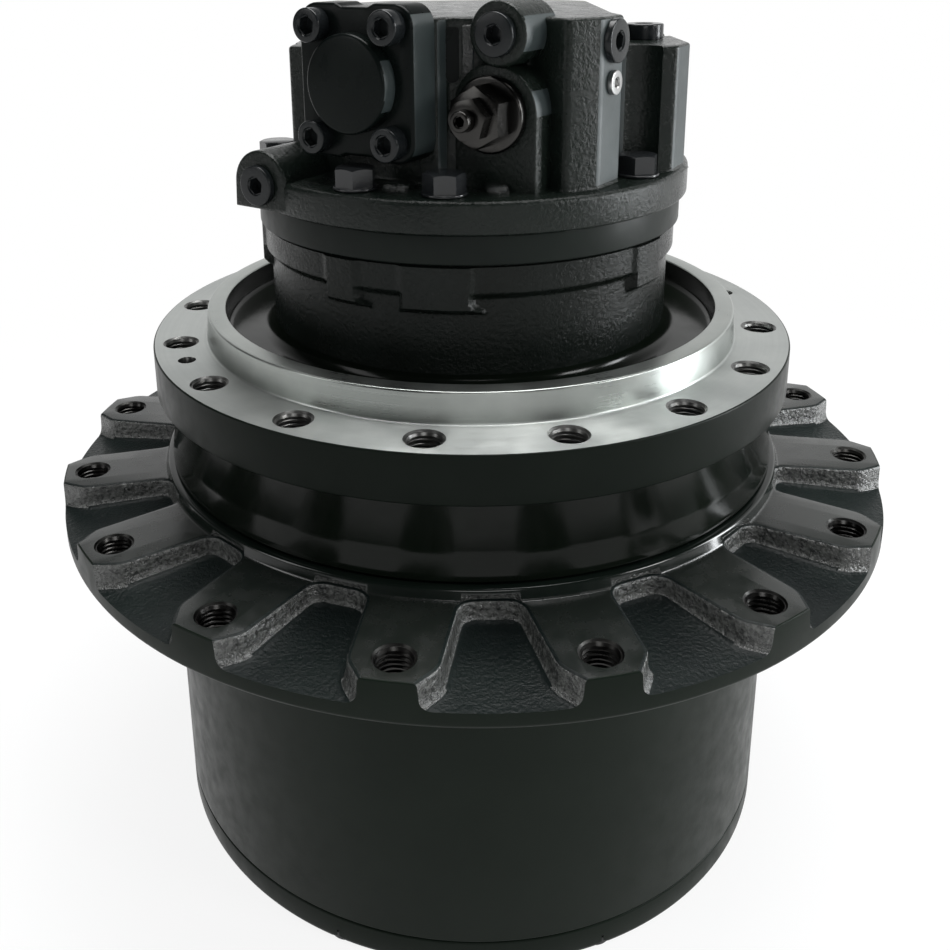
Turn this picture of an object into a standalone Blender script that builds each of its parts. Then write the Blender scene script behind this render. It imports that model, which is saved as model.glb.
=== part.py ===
"""Excavator final drive: two-stage planetary hub, fixed spindle and hydraulic motor.

Metres, +Z up.  The turning axis is Z and the end cover rests on z = 0.
The camera side of the reference picture is -Y.  Angles called azimuth run from -Y towards +X.
"""
import math

import bmesh
import bpy
from mathutils import Matrix, Vector

for old in list(bpy.data.objects):
    bpy.data.objects.remove(old, do_unlink=True)

# Running clearance between pieces that meet, and tessellation of the turned forms
CLEAR = 0.0003
SEG_MAIN = 36
SEG_BIG = 36
SEG_MID = 18
SEG_SMALL = 8

# End cover
COVER_R = 0.1975
COVER_T = 0.018
COVER_SPIGOT_H = 0.008
COVER_EDGE = 0.004
THRUST_BUTTON_R = 0.020
THRUST_BUTTON_H = 0.008
COVER_BOLTS = 8
COVER_BOLT_PCD_R = 0.186
COVER_BOLT_R = 0.006
COVER_BOLT_HEAD_R = 0.0105
COVER_BOLT_HEAD_H = 0.008
COVER_BOLT_LENGTH = 0.034
PLUG_R = 0.012
PLUG_HEAD_R = 0.016
PLUG_DEPTH = 0.012
PLUG_PCD_R = 0.110

# Hub drum and sprocket flange
DRUM_R = 0.1975
DRUM_BORE_R = 0.1783
RIM_R = 0.2605
RIM_BOTTOM_Z = 0.2135
RIM_TOP_Z = 0.2365
RIM_FILLET = 0.007
PADS = 16
PAD_PHASE = math.radians(-8.1)
POCKET_DEPTH = 0.0125
POCKET_INNER_R = 0.1972
POCKET_INNER_HALF = 0.0148
POCKET_KNEE_HALF = 0.0262
POCKET_OUTER_HALF = 0.0405
POCKET_KNEE_IN = 0.013
SPROCKET_HOLE_IN = 0.0167
SPROCKET_HOLE_PCD_R = RIM_R - SPROCKET_HOLE_IN
SPROCKET_HOLE_R = 0.0088
BEAD_R = 0.1965
HUB_TOP_Z = 0.2430
HUB_WEB_Z = 0.150

# Main bearings and face seal
SPINDLE_TUBE_R = 0.105
BEARING_DEPTH = 0.0353
BEARING_BORE_R = SPINDLE_TUBE_R + BEARING_DEPTH
HUB_WEB_BORE_R = BEARING_BORE_R - 0.0123
BEARING_W = 0.0295
BEARING_A_Z = 0.1665
BEARING_GAP = 0.006
BEARING_TOP_Z = BEARING_A_Z + 2.0 * BEARING_W + BEARING_GAP
BEARING_SPLIT_R = SPINDLE_TUBE_R + BEARING_DEPTH / 2.0
BEARING_TAPER = 0.004
BEARING_RIB_R = BEARING_BORE_R - 0.0083
SEAL_BORE_R = BEARING_BORE_R + 0.0317
SEAL_FLOOR_Z = 0.2325
SEAL_W = 0.0215
SEAL_OUT_R = SEAL_BORE_R - CLEAR * 2.0
SEAL_IN_R = SEAL_OUT_R - SEAL_W
SEAL_SPLIT_Z = 0.2385

# Spindle, frame flange and motor housing
SPINDLE_FOOT_Z = 0.1563
NECK_R = 0.1915
NECK_FOOT_R = 0.1935
NECK_BOTTOM_Z = 0.2445
FLANGE_BOTTOM_Z = 0.2905
FLANGE_TOP_Z = 0.318
FLANGE_R = 0.200
FRAME_PITCHES = 16
FRAME_PHASE = math.radians(-6.8)
FRAME_HOLE_PCD_R = 0.1833
FRAME_HOLE_R = 0.0088
DOWEL_R = 0.005
DOWEL_AZIMUTHS = (math.radians(105.0), math.radians(-64.5))
SPIGOT_R = 0.166
SPIGOT_BORE_R = 0.155
SPIGOT_TOP_Z = 0.3355
RECESS_FLOOR_Z = 0.3195
MOTOR_R = 0.1240
MOTOR_BAND_Z = 0.372
MOTOR_BAND_R = 0.1275
MOTOR_RING_Z = 0.390
MOTOR_RING_R = 0.1300
MOTOR_TOP_Z = 0.407
MOTOR_BORE_R = 0.096
MOTOR_FLOOR_Z = 0.250
SPINDLE_BORE_R = 0.040
LUG_R = 0.0125
LUG_BOTTOM_Z = 0.3635

# Valve cover
VC_FLANGE_R = 0.134
VC_FLANGE_T = 0.018
VC_BOLT_PCD_R = 0.117
VC_BOLT_AZIMUTHS = (-82.0, -31.0, -6.0, 54.0, 100.0, 140.0, 180.0, -130.0)
VC_BOLT_HEAD_R = 0.0115
VC_BOLT_HEAD_H = 0.012
VC_BOLT_SHANK_R = 0.0062
VC_BOLT_GRIP = 0.018
VC_BODY_TOP_Z = 0.514
VC_YAW = math.radians(-33.0)
VC_STEP_Y = -0.0905
VC_STEP_X = 0.030
VC_RIGHT_X = 0.079
VC_NOSE = ((0.050, -0.1135), (0.069, -0.1045))
VC_SIDE_FACE_W = 0.0235
VC_BACK_Y = 0.098
VC_LEFT_X = -0.086
VC_CHEEK_N = 0.090
VC_SIDE_TOP_Z = 0.495
VC_REAR_BLOCK_TOP_Z = 0.4955
PORT_R = 0.0125
PORT_DEPTH = 0.030
PORT_SPREAD = 0.033
PORT_Z = 0.466

# Counterbalance cap with its four screws
CAP_T = 0.020
CAP_W = 0.0755
CAP_H = 0.0825
CAP_ALONG = 0.0005
CAP_Z = 0.4805
CAP_CORNER = 0.013
CAP_SEAT_DEPTH = 0.016
CAP_BOSS_R = 0.0265
CAP_BOSS_H = 0.009
CAP_SCREW_W = 0.0498
CAP_SCREW_H = 0.0595
CAP_SCREW_R = 0.005
CAP_SCREW_HEAD_R = 0.0092
CAP_SCREW_HEAD_H = 0.0095
CAP_SCREW_SOCKET_R = 0.0052

# Relief valve boss, cartridge, lock nut and adjuster
ARCH_N = 0.0795
ARCH_T = 0.0672
ARCH_Z = 0.4652
ARCH_R = 0.0258
ARCH_DEPTH = 0.050
CARTRIDGE_R = 0.0205
CARTRIDGE_COLLAR_H = 0.006
CARTRIDGE_HEX_R = 0.0165
CARTRIDGE_HEX_H = 0.013
LOCKNUT_HEX_R = 0.0118
LOCKNUT_H = 0.007
ADJUSTER_R = 0.0055
ADJUSTER_H = 0.012

# Small plugs of the valve cover
FRONT_PLUG_N = 0.083
FRONT_PLUG_T = 0.0715
FRONT_PLUG_Z = 0.5063
FRONT_LOBE_R = 0.0170
SMALL_PLUG_R = 0.0115
SMALL_PLUG_H = 0.004
LUG_N = 0.129
LUG_T = -0.055
LUG_HALF_W = 0.0193
LUG_BLOCK_BOTTOM_Z = 0.4085
LUG_PLUG_Z = 0.4227
LUG_DEPTH = 0.045
SIDE_PLUG_Z = 0.5015
ORIFICE_Z = 0.480
REAR_PLUG_H = 0.009

# Gears
MODULE = 0.00525
PRESSURE = math.radians(25.0)
ADDENDUM = 0.88
DEDENDUM = 1.12
BACKLASH = 0.0006
RING_TEETH = 60
SUN1_TEETH = 12
PLANET1_TEETH = 24
SUN2_TEETH = 18
PLANET2_TEETH = 21
RING_OUT_R = 0.178
RING_Z0 = 0.0263
RING_Z1 = 0.1385
STAGE1_Z0 = 0.041
STAGE1_W = 0.030
STAGE1_PHASE = math.radians(93.0)
PIN1_R = 0.018
CARRIER1_T = 0.012
CARRIER1_R = 0.118
STAGE2_Z0 = 0.088
STAGE2_W = 0.049
STAGE2_PHASE = math.radians(30.0)
PIN2_R = 0.023
CARRIER2_R = 0.148
SUN2_NECK_R = 0.026
SUN2_BORE_R = 0.017
SHAFT_R = 0.015
NUT_R = SPINDLE_TUBE_R + 0.019
NUT_Z = 0.1575

# Motor rotating group
SWASH_R = 0.080
SWASH_T = 0.016
SWASH_TILT = math.radians(12.0)
PISTONS = 9
PISTON_R = 0.0095
PISTON_PCD_R = 0.041
BLOCK_R = 0.058
BLOCK_Z0 = 0.312
BLOCK_Z1 = 0.392
BRAKE_Z0 = 0.330
BRAKE_Z1 = 0.400
BRAKE_IN_R = 0.074
BRAKE_STEP_H = 0.014
BRAKE_CHAMFER_H = 0.010
PLATE_T = 0.010

N_DIR = Vector((math.sin(VC_YAW), -math.cos(VC_YAW), 0.0))
T_DIR = Vector((math.cos(VC_YAW), math.sin(VC_YAW), 0.0))
UP = Vector((0.0, 0.0, 1.0))


def polar(radius, azimuth, z=0.0):
    """Point at an azimuth that runs from -Y towards +X."""
    return Vector((radius * math.sin(azimuth), -radius * math.cos(azimuth), z))


def to_object(name, bm):
    bmesh.ops.remove_doubles(bm, verts=bm.verts, dist=1e-6)
    bmesh.ops.recalc_face_normals(bm, faces=bm.faces)
    mesh = bpy.data.meshes.new(name)
    bm.to_mesh(mesh)
    bm.free()
    ob = bpy.data.objects.new(name, mesh)
    bpy.context.scene.collection.objects.link(ob)
    return ob


def lathe(profile, segments):
    """Closed turned solid from (radius, z) points of one side of its section."""
    bm = bmesh.new()
    rings = []
    for radius, z in profile:
        if radius < 1e-7:
            rings.append([bm.verts.new((0.0, 0.0, z))])
            continue
        ring = []
        for i in range(segments):
            angle = 2.0 * math.pi * i / segments
            ring.append(bm.verts.new((radius * math.cos(angle), radius * math.sin(angle), z)))
        rings.append(ring)
    for a, b in zip(rings, rings[1:] + rings[:1]):
        if len(a) == 1 and len(b) == 1:
            continue
        for i in range(segments):
            j = (i + 1) % segments
            if len(a) == 1:
                bm.faces.new((a[0], b[i], b[j]))
            elif len(b) == 1:
                bm.faces.new((a[i], a[j], b[0]))
            else:
                bm.faces.new((a[i], a[j], b[j], b[i]))
    return bm


def prism(points, z0, z1, bm=None):
    """Closed extrusion of an outline in the XY plane."""
    bm = bm or bmesh.new()
    low = [bm.verts.new((x, y, z0)) for x, y in points]
    high = [bm.verts.new((x, y, z1)) for x, y in points]
    bm.faces.new(low[::-1])
    bm.faces.new(high)
    for i in range(len(points)):
        j = (i + 1) % len(points)
        bm.faces.new((low[i], low[j], high[j], high[i]))
    return bm


def circle(radius, segments, centre=(0.0, 0.0), phase=0.0):
    return [
        (
            centre[0] + radius * math.cos(phase + 2.0 * math.pi * i / segments),
            centre[1] + radius * math.sin(phase + 2.0 * math.pi * i / segments),
        )
        for i in range(segments)
    ]


def frame_matrix(origin, outward):
    """Local Z along outward, local Y as near to world Z as it can be."""
    axis = Vector(outward).normalized()
    side = UP.cross(axis)
    if side.length < 1e-6:
        side = Vector((1.0, 0.0, 0.0))
    side.normalize()
    up = axis.cross(side)
    rot = Matrix((side, up, axis)).transposed().to_4x4()
    return Matrix.Translation(Vector(origin)) @ rot


def placed(bm, matrix):
    bm.transform(matrix)
    return bm


def joined(meshes):
    """One mesh from several that do not touch."""
    out = bmesh.new()
    for bm in meshes:
        temp = bpy.data.meshes.new("temp")
        bm.to_mesh(temp)
        bm.free()
        out.from_mesh(temp)
        bpy.data.meshes.remove(temp)
    return out


def boolean(target, bm, operation):
    tool = to_object("tool", bm)
    tool.hide_render = True
    tool.display_type = "WIRE"
    mod = target.modifiers.new("form", "BOOLEAN")
    mod.operation = operation
    mod.solver = "EXACT"
    mod.object = tool
    bpy.context.view_layer.update()
    graph = bpy.context.evaluated_depsgraph_get()
    mesh = bpy.data.meshes.new_from_object(target.evaluated_get(graph))
    target.modifiers.clear()
    old_mesh = target.data
    target.data = mesh
    bpy.data.meshes.remove(old_mesh)
    tool_mesh = tool.data
    bpy.data.objects.remove(tool, do_unlink=True)
    bpy.data.meshes.remove(tool_mesh)
    return target


def add(target, bm):
    return boolean(target, bm, "UNION")


def cut(target, bm):
    return boolean(target, bm, "DIFFERENCE")


def material(name, colour, metallic, roughness):
    mat = bpy.data.materials.new(name)
    mat.use_nodes = True
    shader = mat.node_tree.nodes["Principled BSDF"]
    shader.inputs["Base Color"].default_value = (*colour, 1.0)
    shader.inputs["Metallic"].default_value = metallic
    shader.inputs["Roughness"].default_value = roughness
    return mat


def finish(ob, look, angle=30.0):
    colour, metallic, roughness = LOOKS[look]
    ob.data.materials.clear()
    ob.data.materials.append(material(ob.name + "_" + look, colour, metallic, roughness))
    for poly in ob.data.polygons:
        poly.material_index = 0
        poly.use_smooth = True
    ob.data.set_sharp_from_angle(angle=math.radians(angle))
    return ob


LOOKS = {
    "black_paint": ((0.012, 0.014, 0.013), 0.0, 0.35),
    "machined_steel": ((0.42, 0.43, 0.43), 1.0, 0.35),
    "dark_steel": ((0.05, 0.05, 0.052), 1.0, 0.4),
    "gear_steel": ((0.35, 0.35, 0.36), 1.0, 0.3),
    "bronze": ((0.45, 0.30, 0.14), 1.0, 0.35),
    "seal_iron": ((0.20, 0.20, 0.21), 1.0, 0.3),
}


def involute(angle):
    return math.tan(angle) - angle


def tooth_outline(teeth, tip_r, root_r, half_extra, phase, curved=False):
    """Outline of an outside gear; half_extra widens each tooth side, in metres at the pitch.

    A curved flank has one more point, at the pitch circle.
    """
    pitch_r = teeth * MODULE / 2.0
    base_r = pitch_r * math.cos(PRESSURE)
    at_pitch = math.pi / (2.0 * teeth) + half_extra / pitch_r

    def half(radius):
        slope = math.acos(min(1.0, base_r / max(radius, base_r)))
        return at_pitch + involute(PRESSURE) - involute(slope)

    flank = (root_r, pitch_r, tip_r) if curved else (root_r, tip_r)
    steps = [(radius, -1) for radius in flank] + [(radius, 1) for radius in reversed(flank)]
    points = []
    for k in range(teeth):
        middle = phase + 2.0 * math.pi * k / teeth
        for radius, sign in steps:
            angle = middle + sign * half(radius)
            points.append((radius * math.cos(angle), radius * math.sin(angle)))
    return points


def outer_gear(name, teeth, z0, width, phase, bore_r, curved=False):
    pitch_r = teeth * MODULE / 2.0
    outline = tooth_outline(
        teeth, pitch_r + ADDENDUM * MODULE, pitch_r - DEDENDUM * MODULE, -BACKLASH / 2.0, phase,
        curved,
    )
    ob = to_object(name, prism(outline, z0, z0 + width))
    return cut(ob, prism(circle(bore_r, 20), z0 - 0.002, z0 + width + 0.002))


def hex_prism(radius, z0, z1):
    return prism(circle(radius, 6, phase=math.radians(30.0)), z0, z1)


def turned_plug(name, centre, outward, head_r, head_h, shank_r, depth, socket_r, segments=SEG_SMALL):
    """Round plug with a hexagon socket; the seat plane passes through centre."""
    edge = head_h * 0.25
    bm = lathe(
        [
            (0.0, -depth), (shank_r, -depth), (shank_r, CLEAR), (head_r, CLEAR),
            (head_r, head_h - edge), (head_r - edge, head_h), (0.0, head_h),
        ],
        segments,
    )
    ob = to_object(name, bm)
    cut(ob, hex_prism(socket_r, head_h * 0.35, head_h + 0.002))
    ob.data.transform(frame_matrix(centre, outward))
    return ob


def hex_bolt(name, centre, outward, head_r, head_h, shank_r, depth):
    """Hexagon bolt with a washer face; the seat plane passes through centre."""
    washer = head_h * 0.12
    bm = lathe(
        [(0.0, -depth), (shank_r, -depth), (shank_r, CLEAR), (head_r * 0.97, CLEAR),
         (head_r * 0.97, CLEAR + washer), (0.0, CLEAR + washer)],
        SEG_SMALL,
    )
    ob = to_object(name, bm)
    add(ob, hex_prism(head_r, CLEAR + washer * 0.5, head_h))
    ob.data.transform(frame_matrix(centre, outward))
    return ob


# Hub housing: drum, sprocket flange, bearing bores and seal bore
hub = to_object(
    "hub_housing",
    lathe(
        [
            (DRUM_BORE_R, COVER_T + CLEAR),
            (DRUM_R, COVER_T + CLEAR),
            (DRUM_R, RIM_BOTTOM_Z - RIM_FILLET),
            (DRUM_R + RIM_FILLET * 0.3, RIM_BOTTOM_Z - RIM_FILLET * 0.3),
            (DRUM_R + RIM_FILLET, RIM_BOTTOM_Z),
            (RIM_R, RIM_BOTTOM_Z),
            (RIM_R, RIM_TOP_Z - 0.002),
            (RIM_R - 0.002, RIM_TOP_Z),
            (BEAD_R, RIM_TOP_Z),
            (BEAD_R, HUB_TOP_Z - 0.002),
            (BEAD_R - 0.002, HUB_TOP_Z),
            (SEAL_BORE_R, HUB_TOP_Z),
            (SEAL_BORE_R, SEAL_FLOOR_Z),
            (BEARING_BORE_R, SEAL_FLOOR_Z),
            (BEARING_BORE_R, BEARING_A_Z + BEARING_W + BEARING_GAP),
            (BEARING_RIB_R, BEARING_A_Z + BEARING_W + BEARING_GAP),
            (BEARING_RIB_R, BEARING_A_Z + BEARING_W),
            (BEARING_BORE_R, BEARING_A_Z + BEARING_W),
            (BEARING_BORE_R, BEARING_A_Z - CLEAR),
            (HUB_WEB_BORE_R, BEARING_A_Z - CLEAR),
            (HUB_WEB_BORE_R, HUB_WEB_Z),
            (DRUM_BORE_R, HUB_WEB_Z),
        ],
        SEG_MAIN,
    ),
)
pockets = []
for k in range(PADS):
    mid = PAD_PHASE + (k + 0.5) * 2.0 * math.pi / PADS
    base = -math.pi / 2.0 + mid
    half = [
        (POCKET_INNER_R + 0.0090, POCKET_INNER_HALF + 0.0016),
        (RIM_R - POCKET_KNEE_IN - 0.0060, POCKET_KNEE_HALF - 0.0013),
        (RIM_R - POCKET_KNEE_IN + 0.0050, POCKET_KNEE_HALF + 0.0050),
        (RIM_R + 0.0010, POCKET_OUTER_HALF),
        (RIM_R + 0.0060, POCKET_OUTER_HALF + 0.002),
    ]
    outline = [
        (POCKET_INNER_R, POCKET_INNER_HALF * 0.45),
        (POCKET_INNER_R + 0.0027, POCKET_INNER_HALF * 0.87),
    ] + half
    outline = outline + [(x, -y) for x, y in reversed(outline)]
    pocket = prism(outline, RIM_TOP_Z - POCKET_DEPTH, RIM_TOP_Z + 0.004)
    pockets.append(placed(pocket, Matrix.Rotation(base, 4, "Z")))
cut(hub, joined(pockets))
holes = []
for k in range(PADS):
    spot = polar(SPROCKET_HOLE_PCD_R, PAD_PHASE + k * 2.0 * math.pi / PADS)
    holes.append(prism(circle(SPROCKET_HOLE_R, 8, (spot.x, spot.y)), RIM_BOTTOM_Z - 0.002, RIM_TOP_Z + 0.002))
for k in range(COVER_BOLTS):
    spot = polar(COVER_BOLT_PCD_R, (k + 0.5) * 2.0 * math.pi / COVER_BOLTS)
    holes.append(
        prism(
            circle(COVER_BOLT_R * 1.1, 8, (spot.x, spot.y)),
            COVER_T - 0.002,
            COVER_BOLT_LENGTH + 0.001,
        )
    )
cut(hub, joined(holes))
finish_list = [(hub, "black_paint")]

# Ring gear pressed in the drum, its tooth spaces centred on the X axis
ring_pitch = RING_TEETH * MODULE / 2.0
ring = to_object("ring_gear", prism(circle(RING_OUT_R, SEG_MAIN), RING_Z0, RING_Z1))
cut(
    ring,
    prism(
        tooth_outline(
            RING_TEETH,
            ring_pitch + DEDENDUM * MODULE,
            ring_pitch - ADDENDUM * MODULE,
            BACKLASH / 2.0,
            0.0,
        ),
        RING_Z0 - 0.002,
        RING_Z1 + 0.002,
    ),
)
finish_list.append((ring, "gear_steel"))

# End cover with its spigot and thrust button
cover_top = COVER_T + COVER_SPIGOT_H
cover = to_object(
    "end_cover",
    lathe(
        [
            (0.0, 0.0),
            (COVER_R - COVER_EDGE, 0.0),
            (COVER_R, COVER_EDGE),
            (COVER_R, COVER_T),
            (DRUM_BORE_R - CLEAR, COVER_T),
            (DRUM_BORE_R - CLEAR, cover_top),
            (ring_pitch - ADDENDUM * MODULE, cover_top),
            (ring_pitch - ADDENDUM * MODULE - 0.006, COVER_T - 0.004),
            (THRUST_BUTTON_R + 0.020, COVER_T - 0.004),
            (THRUST_BUTTON_R, cover_top),
            (THRUST_BUTTON_R, cover_top + THRUST_BUTTON_H),
            (0.0, cover_top + THRUST_BUTTON_H),
        ],
        SEG_MAIN,
    ),
)
cover_holes = []
for k in range(COVER_BOLTS):
    spot = polar(COVER_BOLT_PCD_R, (k + 0.5) * 2.0 * math.pi / COVER_BOLTS)
    cover_holes.append(
        prism(circle(COVER_BOLT_R * 1.1, 8, (spot.x, spot.y)), COVER_BOLT_HEAD_H - 0.001, COVER_T + 0.002)
    )
cut(cover, joined(cover_holes))
counterbores = []
for k in range(COVER_BOLTS):
    spot = polar(COVER_BOLT_PCD_R, (k + 0.5) * 2.0 * math.pi / COVER_BOLTS)
    counterbores.append(
        prism(circle(COVER_BOLT_HEAD_R * 1.1, 8, (spot.x, spot.y)), -0.002, COVER_BOLT_HEAD_H + CLEAR)
    )
for k in range(2):
    spot = polar(PLUG_PCD_R, math.radians(90.0 * k))
    counterbores.append(
        prism(circle(PLUG_HEAD_R + 0.001, 16, (spot.x, spot.y)), -0.002, 0.003)
    )
cut(cover, joined(counterbores))
plug_bores = []
for k in range(2):
    spot = polar(PLUG_PCD_R, math.radians(90.0 * k))
    plug_bores.append(prism(circle(PLUG_R + CLEAR * 2.0, 12, (spot.x, spot.y)), 0.002, COVER_T))
cut(cover, joined(plug_bores))
finish_list.append((cover, "black_paint"))
for k, name in enumerate(("drain_plug", "level_plug")):
    spot = polar(PLUG_PCD_R, math.radians(90.0 * k), 0.003)
    plug = turned_plug(name, spot, (0.0, 0.0, -1.0), PLUG_HEAD_R, 0.0029, PLUG_R, PLUG_DEPTH - 0.002, 0.006, 12)
    finish_list.append((plug, "dark_steel"))
for k in range(COVER_BOLTS):
    spot = polar(COVER_BOLT_PCD_R, (k + 0.5) * 2.0 * math.pi / COVER_BOLTS, COVER_BOLT_HEAD_H + CLEAR)
    bolt = turned_plug(
        "cover_bolt_%d" % (k + 1), spot, (0.0, 0.0, -1.0), COVER_BOLT_HEAD_R, COVER_BOLT_HEAD_H,
        COVER_BOLT_R, COVER_BOLT_LENGTH - COVER_BOLT_HEAD_H, 0.005, 8,
    )
    finish_list.append((bolt, "dark_steel"))

# Spindle casting: bearing tube, neck, frame flange, spigot and motor housing
spindle = to_object(
    "spindle_housing",
    lathe(
        [
            (SPINDLE_BORE_R, SPINDLE_FOOT_Z),
            (SPINDLE_TUBE_R, SPINDLE_FOOT_Z),
            (SPINDLE_TUBE_R, BEARING_TOP_Z),
            (SPINDLE_TUBE_R + 0.011, BEARING_TOP_Z),
            (SEAL_IN_R - 0.004, NECK_BOTTOM_Z),
            (NECK_FOOT_R, NECK_BOTTOM_Z),
            (NECK_R, NECK_BOTTOM_Z + 0.014),
            (NECK_R, FLANGE_BOTTOM_Z - 0.004),
            (NECK_R + 0.004, FLANGE_BOTTOM_Z),
            (FLANGE_R, FLANGE_BOTTOM_Z),
            (FLANGE_R, FLANGE_TOP_Z - 0.001),
            (FLANGE_R - 0.001, FLANGE_TOP_Z),
            (SPIGOT_R, FLANGE_TOP_Z),
            (SPIGOT_R, SPIGOT_TOP_Z),
            (SPIGOT_BORE_R, SPIGOT_TOP_Z),
            (SPIGOT_BORE_R, RECESS_FLOOR_Z + 0.004),
            (SPIGOT_BORE_R - 0.004, RECESS_FLOOR_Z),
            (MOTOR_R + 0.007, RECESS_FLOOR_Z),
            (MOTOR_R, RECESS_FLOOR_Z + 0.007),
            (MOTOR_R, MOTOR_BAND_Z - 0.003),
            (MOTOR_BAND_R, MOTOR_BAND_Z),
            (MOTOR_BAND_R, MOTOR_RING_Z),
            (MOTOR_RING_R, MOTOR_RING_Z + 0.001),
            (MOTOR_RING_R, MOTOR_TOP_Z),
            (MOTOR_BORE_R, MOTOR_TOP_Z),
            (MOTOR_BORE_R, MOTOR_FLOOR_Z),
            (SPINDLE_BORE_R, MOTOR_FLOOR_Z),
        ],
        SEG_MAIN,
    ),
)
lugs = []
for degrees in VC_BOLT_AZIMUTHS:
    spot = polar(VC_BOLT_PCD_R, math.radians(degrees))
    lug = lathe(
        [(0.0, LUG_BOTTOM_Z - 0.003), (LUG_R * 0.6, LUG_BOTTOM_Z - 0.003), (LUG_R, LUG_BOTTOM_Z + 0.003),
         (LUG_R, MOTOR_RING_Z + 0.002), (0.0, MOTOR_RING_Z + 0.002)],
        12,
    )
    lugs.append(placed(lug, Matrix.Translation(spot)))
add(spindle, joined(lugs))
cutters = []
for k in range(FRAME_PITCHES):
    azimuth = FRAME_PHASE + k * 2.0 * math.pi / FRAME_PITCHES
    if k == 5:
        continue
    spot = polar(FRAME_HOLE_PCD_R, azimuth)
    cutters.append(prism(circle(FRAME_HOLE_R, 8, (spot.x, spot.y)), FLANGE_BOTTOM_Z + 0.002, FLANGE_TOP_Z + 0.002))
for azimuth in DOWEL_AZIMUTHS:
    spot = polar(FRAME_HOLE_PCD_R, azimuth)
    cutters.append(prism(circle(DOWEL_R, 8, (spot.x, spot.y)), FLANGE_TOP_Z - 0.014, FLANGE_TOP_Z + 0.002))
for degrees in VC_BOLT_AZIMUTHS:
    spot = polar(VC_BOLT_PCD_R, math.radians(degrees))
    cutters.append(prism(circle(VC_BOLT_SHANK_R * 1.09, 8, (spot.x, spot.y)), MOTOR_TOP_Z - 0.024, MOTOR_TOP_Z + 0.002))
cut(spindle, joined(cutters))
finish_list.append((spindle, "black_paint"))

# Planet carrier of the second stage, seated on the foot of the spindle
stage2_top = STAGE2_Z0 + STAGE2_W
disc2_z0 = stage2_top + 0.0030
carrier2 = to_object(
    "stage2_carrier",
    lathe(
        [
            (SPINDLE_BORE_R, disc2_z0),
            (CARRIER2_R, disc2_z0),
            (CARRIER2_R, HUB_WEB_Z - 0.004),
            (HUB_WEB_BORE_R - 0.010, HUB_WEB_Z - 0.001),
            (SPINDLE_TUBE_R + 0.010, SPINDLE_FOOT_Z - CLEAR),
            (SPINDLE_BORE_R, SPINDLE_FOOT_Z - CLEAR),
        ],
        SEG_MID,
    ),
)
centre2 = (SUN2_TEETH + PLANET2_TEETH) * MODULE / 2.0
pins = []
for k in range(3):
    angle = STAGE2_PHASE + k * 2.0 * math.pi / 3.0
    spot = (centre2 * math.cos(angle), centre2 * math.sin(angle))
    pins.append(prism(circle(PIN2_R, 18, spot), STAGE2_Z0 - 0.001, disc2_z0 + 0.006))
add(carrier2, joined(pins))
shoulders = []
for k in range(3):
    angle = STAGE2_PHASE + k * 2.0 * math.pi / 3.0
    spot = (centre2 * math.cos(angle), centre2 * math.sin(angle))
    shoulders.append(prism(circle(PIN2_R + 0.009, 20, spot), stage2_top + CLEAR, disc2_z0 + 0.004))
add(carrier2, joined(shoulders))
finish_list.append((carrier2, "machined_steel"))

# Bearing nut and the four races
nut = to_object(
    "bearing_nut",
    lathe(
        [
            (SPINDLE_TUBE_R + CLEAR, NUT_Z),
            (NUT_R - 0.003, NUT_Z),
            (NUT_R, NUT_Z + 0.003),
            (NUT_R, BEARING_A_Z - CLEAR),
            (SPINDLE_TUBE_R + CLEAR, BEARING_A_Z - CLEAR),
        ],
        SEG_MAIN,
    ),
)
slots = []
for k in range(6):
    angle = math.pi * k / 3.0
    slot = prism([(NUT_R - 0.006, -0.005), (NUT_R + 0.004, -0.005), (NUT_R + 0.004, 0.005), (NUT_R - 0.006, 0.005)],
                 NUT_Z - 0.001, BEARING_A_Z)
    slots.append(placed(slot, Matrix.Rotation(angle, 4, "Z")))
cut(nut, joined(slots))
finish_list.append((nut, "machined_steel"))
bearing_b_z = BEARING_A_Z + BEARING_W + BEARING_GAP
for tag, z0, lean in (("a", BEARING_A_Z, -1.0), ("b", bearing_b_z, 1.0)):
    z1 = z0 + BEARING_W
    low = BEARING_SPLIT_R + lean * BEARING_TAPER
    high = BEARING_SPLIT_R - lean * BEARING_TAPER
    inner = to_object(
        "bearing_%s_inner" % tag,
        lathe([(SPINDLE_TUBE_R + CLEAR, z0), (low, z0), (high, z1 - CLEAR), (SPINDLE_TUBE_R + CLEAR, z1 - CLEAR)], SEG_MAIN),
    )
    finish_list.append((inner, "gear_steel"))
    gap = CLEAR * 1.6
    outer = to_object(
        "bearing_%s_outer" % tag,
        lathe([(low + gap, z0 + CLEAR), (BEARING_BORE_R - CLEAR, z0 + CLEAR), (BEARING_BORE_R - CLEAR, z1 - CLEAR),
               (high + gap, z1 - CLEAR)], SEG_MAIN),
    )
    finish_list.append((outer, "gear_steel"))

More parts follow.
